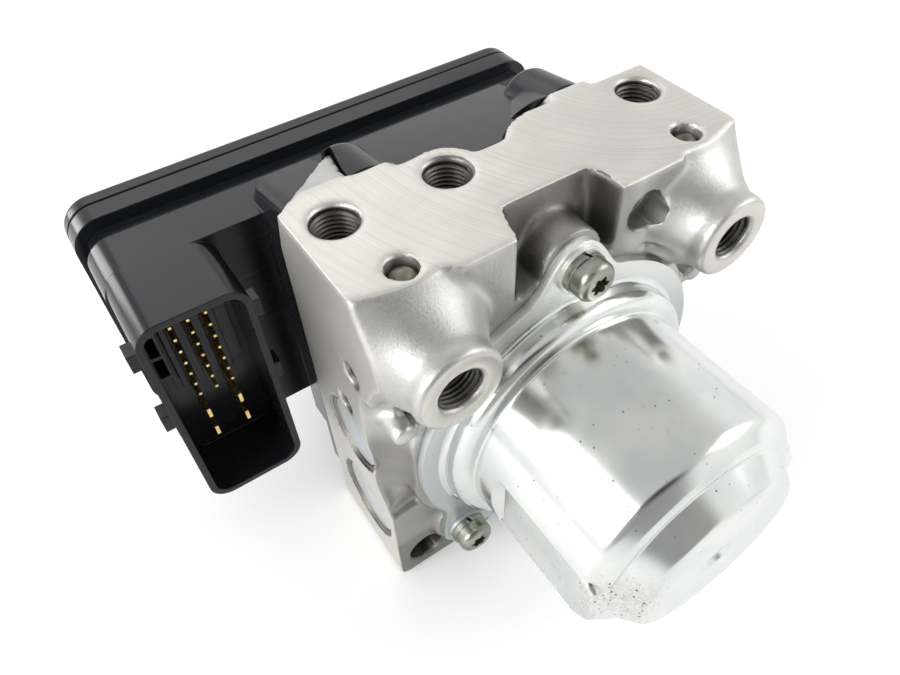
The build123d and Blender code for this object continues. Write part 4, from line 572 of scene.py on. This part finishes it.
# %% Profiles and lathe
def rounded(points, steps=6):
    """Polyline from (a, b) or (a, b, radius) points, with an arc at each point that has a radius."""
    line = []
    for index, point in enumerate(points):
        here = Vector(point[:2])
        radius = point[2] if len(point) > 2 else 0.0
        if radius == 0.0 or index in (0, len(points) - 1):
            line.append(here)
            continue
        back = (Vector(points[index - 1][:2]) - here).normalized()
        on = (Vector(points[index + 1][:2]) - here).normalized()
        half = back.angle(on) / 2
        reach = radius / math.tan(half)
        middle = here + (back + on).normalized() * (radius / math.sin(half))
        start, end = here + back * reach - middle, here + on * reach - middle
        for step in range(steps + 1):
            share = step / steps
            line.append(middle + start.slerp(end, share) * radius)
    return line


def finished(build, name):
    """Plain mesh from a bmesh, with its faces turned outwards."""
    bmesh.ops.recalc_face_normals(build, faces=build.faces)
    mesh = bpy.data.meshes.new(name)
    build.to_mesh(mesh)
    build.free()
    return mesh


def lathe(profile_mm, centre_mm=(0.0, 0.0, 0.0), segments=144, close=False):
    """Mesh spun round an axis along Y from (radius, y) points in millimetres."""
    build = bmesh.new()
    rings = []
    for radius, y in profile_mm:
        count = 1 if radius < 1e-6 else segments
        ring = []
        for k in range(count):
            a = 2 * math.pi * k / segments
            place = Vector((centre_mm[0] + radius * math.cos(a), y, centre_mm[2] + radius * math.sin(a)))
            ring.append(build.verts.new(place * MM))
        rings.append(ring)
    pairs = list(zip(rings, rings[1:]))
    if close:
        pairs.append((rings[-1], rings[0]))
    for first, second in pairs:
        for k in range(segments):
            low = [first[k % len(first)], first[(k + 1) % len(first)]]
            high = [second[(k + 1) % len(second)], second[k % len(second)]]
            unique = list(dict.fromkeys(low + high))
            if len(unique) > 2:
                build.faces.new(unique)
    return finished(build, "lathed")


print("lathe ready")

# %% [markdown]
# ### Modifiers and booleans
#
# Holes are cut with tools, as in a workshop. Blender's exact solver cuts a mesh with one closed tool
# at a time, on helper objects that are removed again, and what is left is one plain mesh.


# %% Apply and combine
def loose(mesh):
    """A helper object for a mesh, linked so that modifiers can work on it."""
    thing = bpy.data.objects.new("helper", mesh)
    bpy.context.scene.collection.objects.link(thing)
    return thing


def settle(thing, *modifiers):
    """Applies modifiers, given as (type, settings), and returns the finished mesh."""
    for kind, settings in modifiers:
        modifier = thing.modifiers.new(kind.lower(), kind)
        for key, value in settings.items():
            setattr(modifier, key, value)
    graph = bpy.context.evaluated_depsgraph_get()
    mesh = bpy.data.meshes.new_from_object(thing.evaluated_get(graph))
    bpy.data.objects.remove(thing)
    return mesh


def combined(mesh, operation, tools):
    """Boolean of a mesh with several tool meshes, one after another."""
    for tool in tools:
        helper = loose(tool)
        settings = {"operation": operation, "object": helper, "solver": "EXACT"}
        mesh = settle(loose(mesh), ("BOOLEAN", settings))
        bpy.data.objects.remove(helper)
    return mesh


print("modifier helpers ready")


# %% Boxes and prisms
def block_mesh(low_mm, high_mm):
    """Box between two corners in millimetres."""
    build = bmesh.new()
    bmesh.ops.create_cube(build, size=1.0)
    low, high = Vector(low_mm), Vector(high_mm)
    for vertex in build.verts:
        share = vertex.co + Vector((0.5, 0.5, 0.5))
        vertex.co = Vector([low[i] + (high[i] - low[i]) * share[i] for i in range(3)]) * MM
    mesh = bpy.data.meshes.new("box")
    build.to_mesh(mesh)
    build.free()
    return mesh


def prism(bottom, top):
    """Solid between two like outlines of points in millimetres."""
    build = bmesh.new()
    low = [build.verts.new(Vector(point) * MM) for point in bottom]
    high = [build.verts.new(Vector(point) * MM) for point in top]
    build.faces.new(low)
    build.faces.new(high[::-1])
    for k in range(len(low)):
        after = (k + 1) % len(low)
        build.faces.new([low[k], low[after], high[after], high[k]])
    return finished(build, "prism")


def prism_x(outline, x0, x1):
    return prism([(x0, y, z) for y, z in outline], [(x1, y, z) for y, z in outline])


def prism_z(outline, z0, z1):
    return prism([(x, y, z0) for x, y in outline], [(x, y, z1) for x, y in outline])


print("prism helpers ready")

# %% [markdown]
# ## The motor can
#
# The can is drawn from one sheet: a flat flange, a raised collar, a long barrel, a rounded rim and a
# shallow dish with a dimple where the tail bearing sits. All of that is round, so it is lathed from
# one profile with real corner radii and many segments, because a mirror finish shows every facet. The
# engineering mesh is coarser, so this piece takes its place.

# %% Lathe the can
CAN_RADIUS = 28.0
CAN_INSIDE = 26.0
COLLAR_RADIUS = 32.1
COLLAR_INSIDE = 30.1
COLLAR_Y = -24.6


def can_barrel():
    """The can without its flats and flange, from its middle out over the rim and back inside."""
    outside = rounded(
        [
            (0.0, -64.7),
            (3.0, -64.7),
            (3.9, -65.6, 0.3),
            (19.4, -65.6, 2.0),
            (23.3, -60.2, 0.5),
            (24.2, -60.1, 0.3),
            (25.3, -59.4, 1.2),
            (CAN_RADIUS, -56.6, 3.4),
            (CAN_RADIUS, COLLAR_Y, 0.5),
            (COLLAR_RADIUS, COLLAR_Y, 2.6),
            (COLLAR_RADIUS, -19.4, 1.0),
            (35.0, -19.0, 0.3),
            (35.0, -17.3),
        ]
    )
    inside = rounded(
        [
            (COLLAR_INSIDE, -17.3),
            (COLLAR_INSIDE, -22.8, 1.5),
            (CAN_INSIDE, -22.8, 1.5),
            (CAN_INSIDE, -56.4, 3.0),
            (21.4, -58.2, 1.0),
            (17.6, -63.6, 1.0),
            (9.6, -63.6),
            (9.6, -58.6),
            (8.06, -58.6),
            (8.06, -63.5),
            (0.0, -63.6),
        ]
    )
    return lathe(outside + inside, (0.0, 0.0, MOTOR_Z), segments=160)


barrel = can_barrel()
print("barrel faces:", len(barrel.polygons))

# %% [markdown]
# ### Flats and flange
#
# Two flats are pressed into the barrel. They run on past the rounded rim, where their ends stand out
# as small lugs. A press pushes metal in, so each flat is cut with a prism whose front is a ramp, and
# the lug is added. The flange's outline can't be lathed, because three ears stand out of it. For
# every degree round the flange the reach is the furthest of the plain circle and of a row of circles
# that shrink along each ear, which gives the ear its wide root, and a few rounds of averaging soften
# the joints between them.


# %% Press the flats
FLAT_X = 26.9
FLAT_HALF = 7.4
LUG_END_Y = -60.6
LUG_START_Y = -33.9
LUG_OVERLAP = 0.7
WALL_KEPT = 26.3


def flat_tools(side):
    """Lug that the flat ends in, and the stock that the press pushes in."""
    low, high = MOTOR_Z - FLAT_HALF, MOTOR_Z + FLAT_HALF
    under, over = low - LUG_OVERLAP, high + LUG_OVERLAP
    ends = [(-40.0, under), (LUG_END_Y, under, 5.5), (LUG_END_Y, over, 5.5), (-40.0, over)]
    outline = rounded(ends + [(LUG_START_Y, over), (LUG_START_Y, under), (-40.0, under)])
    lug = prism_x(outline[:-1], side * 20.0, side * FLAT_X)
    lug = settle(loose(lug), edge_bevel(1.1, 4))
    core = [(0.0, -16.0), (WALL_KEPT, -16.0), (WALL_KEPT, -57.0), (0.0, -57.0)]
    lug = combined(lug, "DIFFERENCE", [lathe(core, (0.0, 0.0, MOTOR_Z), segments=160)])
    near, far = side * FLAT_X, side * 32.0
    ramp = [(side * (FLAT_X - 0.6), -32.9), (side * 29.2, -28.9), (far, -28.5)]
    return lug, prism_z([(near, -62.0), (near, -33.6), *ramp, (far, -62.0)], low, high)


def edge_bevel(width_mm, segments):
    """Bevel that rounds only the sharp edges."""
    limit = {"limit_method": "ANGLE", "angle_limit": 0.9}
    return "BEVEL", {"width": width_mm * MM, "segments": segments, **limit}


print("flats at", FLAT_X, "mm from the middle")

# %% Cut the flange
FLANGE_RADIUS = 37.5
FLANGE_FRONT, FLANGE_BACK = -19.2, -17.2
EAR_ANGLES = (90.0, 228.0, 312.0)
SCREW_CIRCLE = 40.6
EAR_RADIUS = 6.2
EAR_ROOT_RADIUS = 11.5
EAR_ROOT_INSET = 10
SCREW_HOLE = 2.75


def ear_reach(off):
    """How far an ear reaches, at an angle off its middle, as the furthest of eleven circles."""
    reach = 0.0
    for step in range(0, 11):
        share = step / 10
        centre = SCREW_CIRCLE - EAR_ROOT_INSET * share
        size = EAR_RADIUS + (EAR_ROOT_RADIUS - EAR_RADIUS) * share
        aside = centre * math.sin(off)
        if abs(aside) < size and math.cos(off) > 0:
            reach = max(reach, centre * math.cos(off) + math.sqrt(size * size - aside * aside))
    return reach


def averaged(outline):
    """Closed outline with each point drawn towards its two neighbours."""
    after = outline[1:] + outline[:1]
    before = outline[-1:] + outline[:-1]
    drawn = []
    for a, b, c in zip(before, outline, after):
        drawn.append(tuple(0.25 * a[i] + 0.5 * b[i] + 0.25 * c[i] for i in (0, 1)))
    return drawn


def punch(radius, centre, segments):
    """Cylinder that cuts a hole through the flange."""
    return lathe([(0.0, -16.0), (radius, -16.0), (radius, -21.0), (0.0, -21.0)], centre, segments=segments)


def flange_plate():
    outline = []
    for degrees in range(0, 360):
        reach = max([FLANGE_RADIUS] + [ear_reach(math.radians(degrees - ear)) for ear in EAR_ANGLES])
        a = math.radians(degrees)
        outline.append((reach * math.cos(a), reach * math.sin(a)))
    for _ in range(6):
        outline = averaged(outline)
    front = [(x, FLANGE_FRONT, MOTOR_Z + z) for x, z in outline]
    back = [(x, FLANGE_BACK, MOTOR_Z + z) for x, z in outline]
    holes = [punch(COLLAR_INSIDE, (0.0, 0.0, MOTOR_Z), 96)]
    for ear in EAR_ANGLES:
        a = math.radians(ear)
        centre = (SCREW_CIRCLE * math.cos(a), 0.0, MOTOR_Z + SCREW_CIRCLE * math.sin(a))
        holes.append(punch(SCREW_HOLE, centre, 32))
    plate = combined(prism(front, back), "DIFFERENCE", holes)
    return settle(loose(plate), edge_bevel(0.45, 3))


flange = flange_plate()
print("flange faces:", len(flange.polygons))


# %% Join the can
def motor_can(mesh):
    for side in (-1, 1):
        lug, stock = flat_tools(side)
        mesh = combined(mesh, "DIFFERENCE", [stock])
        mesh = combined(mesh, "UNION", [lug])
    mesh = combined(mesh, "UNION", [flange])
    piece = new_piece("drawn_can", shade(mesh, 30.0), "zinc_plate")
    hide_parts("motor_can")
    return piece


can = motor_can(barrel)
print("motor can faces:", len(can.data.polygons))

# %% [markdown]
# ## The casting's soft edges
#
# A die casting has no sharp edges except where it has been milled. Rounding hundreds of edges one by
# one is fragile, so the engineering mesh is filled with small cubes (a voxel remesh), which makes an
# even skin, and the skin is then relaxed a few times, which rounds outer edges and fills inner
# corners alike. Last, the port mouths, the drillings and the plug seats are cut again with exact
# cones and cylinders, so the machined edges are crisp. Every tool is lathed along Y first and then
# aimed into its mouth.

# %% Tools for the machined bores
PORTS = [
    ((-OUTER_PORT_X, PORT_Y, BLOCK_TOP), (0, 0, -1)),
    ((MIDDLE_PORT_X, PORT_Y, BLOCK_TOP), (0, 0, -1)),
    ((OUTER_PORT_X, PORT_Y, BLOCK_TOP), (0, 0, -1)),
    ((-BOSS_X, BOSS_END, BOSS_Z), (0, 1, 0)),
    ((BOSS_X, BOSS_END, BOSS_Z), (0, 1, 0)),
]
PORT_MOUTH = 5.25
PORT_BORE = 4.62
PORT_DEPTH = 12.5


def aimed(mesh, mouth_mm, inward):
    """A mesh lathed along +Y from the origin, moved so that it runs inward from a mouth."""
    turn = Vector(inward).to_track_quat("Y", "Z").to_matrix().to_4x4()
    mesh.transform(Matrix.Translation(Vector(mouth_mm) * MM) @ turn)
    return mesh


def port_tool(mouth_mm, inward):
    """Bore with a chamfered mouth."""
    chamfer = [(PORT_MOUTH, -2.0), (PORT_MOUTH, 0.0), (PORT_BORE, PORT_MOUTH - PORT_BORE)]
    profile = [(0.0, -2.0), *chamfer, (PORT_BORE, PORT_DEPTH), (0.0, PORT_DEPTH)]
    return aimed(lathe(profile, segments=72), mouth_mm, inward)


def hole_tool(mouth_mm, inward, radius, depth):
    profile = [(0.0, -2.0), (radius, -2.0), (radius, depth), (0.0, depth)]
    return aimed(lathe(profile, segments=56), mouth_mm, inward)


def plug_tool(mouth_mm, inward, rim, bore):
    """Stepped seat of a staked plug, with a shallow rim round its bore."""
    edge = [(rim + 0.5, -2.0), (rim + 0.3, -0.2), (rim, 0.2), (rim, 0.6)]
    profile = [(0.0, -2.0), *edge, (bore, 0.6), (bore, 3.6), (0.0, 3.6)]
    return aimed(lathe(profile, segments=96), mouth_mm, inward)


print("ports:", len(PORTS))

# %% [markdown]
# ### The valley beside the motor
#
# Between the side wall and the motor's flange the real casting is hollowed like a trough, with a
# round peg across it, and the front bosses grow out of slim necks. These are soft cast forms, so they
# are made before the voxels: a block fills the engineering model's slot, a spindle scoops the trough,
# a ring trims the neck, and the peg is added. The relaxing then blends all of them as the foundry's
# mould did.


# %% Shape the valley
def boss_root_tool(side):
    """What the casting lacks under a front boss, outside its slim root and clear of the motor's seat."""
    neck = [(9.7, -25.0), (10.3, -21.5), (12.0, -17.5), (15.0, -14.8), (18.7, -13.4)]
    front = [(18.7, -26.5), (9.7, -26.5)]
    ring = lathe(neck + front, (side * BOSS_X, 0.0, BOSS_Z), segments=72, close=True)
    ring = combined(ring, "INTERSECT", [block_mesh((-60.0, -30.0, 60.0), (60.0, -10.0, 82.0))])
    disc = [(0.0, -30.0), (39.4, -30.0), (39.4, -8.0), (0.0, -8.0)]
    seat = lathe(disc, (0.0, 0.0, MOTOR_Z), segments=120)
    return combined(ring, "DIFFERENCE", [seat])


def cast_valley(mesh, side):
    """The casting with its trough between side face and flange, and the peg across it."""
    wall, inner = sorted((side * 43.9, side * 37.0))
    mesh = combined(mesh, "UNION", [block_mesh((wall, -13.4, 28.0), (inner, -9.0, 73.4))])
    bowl = [(0.0, 32.5), (4.0, 33.5), (6.4, 37.0), (7.0, 42.0), (7.0, 66.0), (5.6, 70.5), (0.0, 73.0)]
    groove = lathe(bowl, segments=40)
    swapped = ((1, 0, 0, side * 45.0 * MM), (0, 0, 1, -16.5 * MM), (0, 1, 0, 0), (0, 0, 0, 1))
    groove.transform(Matrix(swapped))
    groove.flip_normals()
    mesh = combined(mesh, "DIFFERENCE", [groove])
    mesh = combined(mesh, "DIFFERENCE", [boss_root_tool(side)])
    peg = rounded([(0.0, -18.2), (2.5, -18.2, 1.2), (2.7, -8.0), (0.0, -8.0)])
    return combined(mesh, "UNION", [lathe(peg, (side * 39.2, 0.0, 62.9), segments=40)])


print("valley tools ready")

# %% Soften the casting and cut its bores
VOXEL = 0.74
PLUG_SEATS = [((0.0, PUMP_Z), 9.6, 8.42), ((ACCUMULATOR_Y, ACCUMULATOR_Z), 10.8, 9.62)]
SIDE_DRILLINGS = [(-7.4, 75.2), (-0.5, 59.3)]


def bore_tools():
    """Cutters of every machined hole that shows."""
    tools = [port_tool(mouth, inward) for mouth, inward in PORTS]
    tools.append(hole_tool((18.1, -17.2, 90.5), (0, 1, 0), 4.4, 4.9))
    tools += [hole_tool((side * 36.5, -15.2, 7.4), (0, 1, 0), 4.5, 19.8) for side in (-1, 1)]
    tools += [hole_tool((side * BOSS_X, -11.1, BLOCK_TOP), (0, 0, -1), 3.02, 6.9) for side in (-1, 1)]
    for side in (-1, 1):
        for (y, z), rim, bore in PLUG_SEATS:
            tools.append(plug_tool((side * SIDE_X, y, z), (-side, 0, 0), rim, bore))
        for y, z in SIDE_DRILLINGS:
            tools.append(hole_tool((side * SIDE_X, y, z), (-side, 0, 0), 2.82, 5.9))
    return tools


def soft_casting():
    raw = nodes["valve_block"].data.copy()
    for side in (-1, 1):
        raw = cast_valley(raw, side)
    voxels = ("REMESH", {"mode": "VOXEL", "voxel_size": VOXEL * MM})
    relaxed = ("SMOOTH", {"factor": 0.5, "iterations": 3})
    mesh = combined(settle(loose(raw), voxels, relaxed), "DIFFERENCE", bore_tools())
    piece = new_piece("soft_casting", shade(mesh, 40.0), "cast_aluminium")
    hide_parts("valve_block")
    return piece


casting = soft_casting()
print("casting faces:", len(casting.data.polygons))

# %% [markdown]
# ## Threads in the ports
#
# Each port is tapped M10 by 1. A thread is one long ridge, so it is drawn as a triangle carried along
# a helix: three points per step, joined to the three of the step before. The ridge starts a little
# below the chamfered mouth, as a tap leaves it.


# %% Cut the threads
THREAD_OUTER = 4.60
THREAD_CREST = 4.12
PITCH = 1.0
THREAD_START = 0.9
TURNS = 10.5
STEPS_PER_TURN = 56


def thread_ridge(name, mouth_mm, inward):
    """Ridge along a helix, which rises from nothing over its first turn and sinks over its last."""
    build = bmesh.new()
    turn = Vector(inward).to_track_quat("Z", "Y").to_matrix()
    last = int(TURNS * STEPS_PER_TURN)
    rows = []
    for k in range(last + 1):
        a = 2 * math.pi * k / STEPS_PER_TURN
        depth = THREAD_START + PITCH * k / STEPS_PER_TURN
        fade = min(1.0, k / STEPS_PER_TURN, (last - k) / STEPS_PER_TURN)
        crest = THREAD_OUTER - (THREAD_OUTER - THREAD_CREST) * fade
        row = []
        for radius, along in ((THREAD_OUTER, -0.42), (crest, 0.0), (THREAD_OUTER, 0.42)):
            local = Vector((radius * math.cos(a), radius * math.sin(a), depth + along * PITCH))
            row.append(build.verts.new((turn @ local + Vector(mouth_mm)) * MM))
        rows.append(row)
    for first, second in zip(rows, rows[1:]):
        for i, j in ((0, 1), (1, 2), (2, 0)):
            build.faces.new([first[i], first[j], second[j], second[i]])
    return new_piece(name, shade(finished(build, name), 60.0), "cast_aluminium", finish=TAPPED)


for number, (mouth, inward) in enumerate(PORTS):
    thread_ridge(f"port_thread_{number + 1}", mouth, inward)
print("threads:", len(PORTS))

# %% [markdown]
# ## The springs
#
# The pump's plungers and the accumulators' pistons each push into a coil spring. A spring is one
# wire, so it can't simply ride on either end. Each coil here is a copy of its CAD mesh that keeps
# its shape while the joint moves; only its length is read and printed.


# %% Coils of the pump and the accumulators
JOINTS = {joint["name"]: joint for joint in frame["record"]["behaviour"]["joints"]}


def giving_coil(node, joint):
    """Copy of a spring's CAD mesh, which keeps its shape; returns its length along X."""
    stroke = max(abs(limit) for limit in JOINTS[joint]["range_m"])
    low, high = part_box(node)
    length = high[0] - low[0]
    coil = new_piece(node.replace("spring", "coil"), nodes[node].data.copy(), slots[node])
    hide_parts(node)
    1.0 - stroke / length
    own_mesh(coil)
    return length


for side, hand in ((-1, "left"), (1, "right")):
    pump_length = giving_coil(f"pump_spring_{hand}", f"plunger_{hand}_stroke")
    accumulator_length = giving_coil(f"accumulator_spring_{hand}", f"piston_{hand}_stroke")
    print(hand, "coils:", round(pump_length / MM, 2), "and", round(accumulator_length / MM, 2), "mm long")

# %% [markdown]
# ## Floor and light
#
# The unit stands on a white table in a white room. The floor takes the shadow with an ordinary
# diffuse surface, and a little glow that only the camera and mirrors see lifts it to the white of the
# photograph, so no extra light falls on the unit. What a mirror finish looks like depends on the room
# around it, so the room isn't evenly white: it is dimmer overhead, which makes the broad grey band
# along the top of the can, and dark low down in front on the left, which makes the bands on the can's
# rim and dish. Two broad lamps left and right and a weaker one behind light the flanks, and a narrow
# one behind on the left draws the bright line down the plastic's rounded edge. The Standard view shows
# the colours as they are lit, with no film curve over them.


# %% Floor
def seen_directly(finish):
    """1 for rays of the camera, somewhat less for rays of mirrors, and 0 for the rest."""
    rays = ("Is Camera Ray", "Is Glossy Ray")
    camera_ray, mirror_ray = finish.node("ShaderNodeLightPath", output=rays)
    return camera_ray + mirror_ray * 0.6


def table_top():
    """Square table, 3.2 m wide, whose glow only the camera and mirrors see."""
    mesh = bpy.data.meshes.new("table_top")
    half = 1.6
    corners = [(-half, -half, 0), (half, -half, 0), (half, half, 0), (-half, half, 0)]
    mesh.from_pydata(corners, [], [(0, 1, 2, 3)])
    floor = bpy.data.objects.new("table_top", mesh)
    bpy.context.scene.collection.objects.link(floor)
    finish = Finish("white_table")
    finish.surface(
        Base_Color=(0.89, 0.89, 0.895),
        Roughness=0.6,
        Specular_IOR_Level=0.2,
        Emission_Color=(1.0, 1.0, 1.0),
        Emission_Strength=seen_directly(finish) * 0.18,
    )
    mesh.materials.append(finish.material)
    return floor


floor = table_top()
print("floor:", floor.name)


# %% Room
def room_light():
    """White room, a little brighter on the left, dimmer overhead and dark low in front on the left."""
    room = Finish("white_room", bpy.data.worlds)
    bpy.context.scene.world = room.material
    across, along, height = room.axes(room.node("ShaderNodeTexCoord", output="Generated"))
    dark_front = (height * 0.40 - along * 0.80 - across * 0.45).fade(0.74, 0.88)
    window = (across * -1.0).fade(0.50, 0.95) * 0.10
    level = 1.02 + window - height.fade(0.42, 0.80) * 0.38 - dark_front * 0.64
    camera_ray = room.node("ShaderNodeLightPath", output="Is Camera Ray")
    strength = level + camera_ray * (1.0 - level)
    glow = room.node("ShaderNodeBackground", None, Color=(1.0, 1.0, 1.0), Strength=strength)
    room.node("ShaderNodeOutputWorld", None, Surface=glow)
    return room.material


world = room_light()
print("room:", world.name)


# %% Lamps
def soft_lamp(name, position_mm, size_mm, watts, aim_mm=(0, 0, 50)):
    """Rectangular lamp that faces the middle of the unit."""
    data = bpy.data.lights.new(name, "AREA")
    data.shape = "RECTANGLE"
    data.size = size_mm[0] * MM
    data.size_y = size_mm[1] * MM
    data.energy = watts
    lamp = bpy.data.objects.new(name, data)
    bpy.context.scene.collection.objects.link(lamp)
    position = Vector(position_mm) * MM
    aim = (Vector(aim_mm) * MM - position).to_track_quat("-Z", "Y")
    lamp.matrix_world = Matrix.Translation(position) @ aim.to_matrix().to_4x4()
    return lamp


lamps = [
    soft_lamp("left_lamp", (-640, -60, 380), (500, 400), 3.0),
    soft_lamp("right_lamp", (560, -300, 480), (500, 400), 1.8),
    soft_lamp("back_lamp", (80, 620, 640), (600, 300), 0.8),
    soft_lamp("window_strip", (-420, 545, 240), (110, 320), 0.8),
]
bpy.context.scene.view_settings.view_transform = "Standard"
print("lamps:", [lamp.name for lamp in lamps])
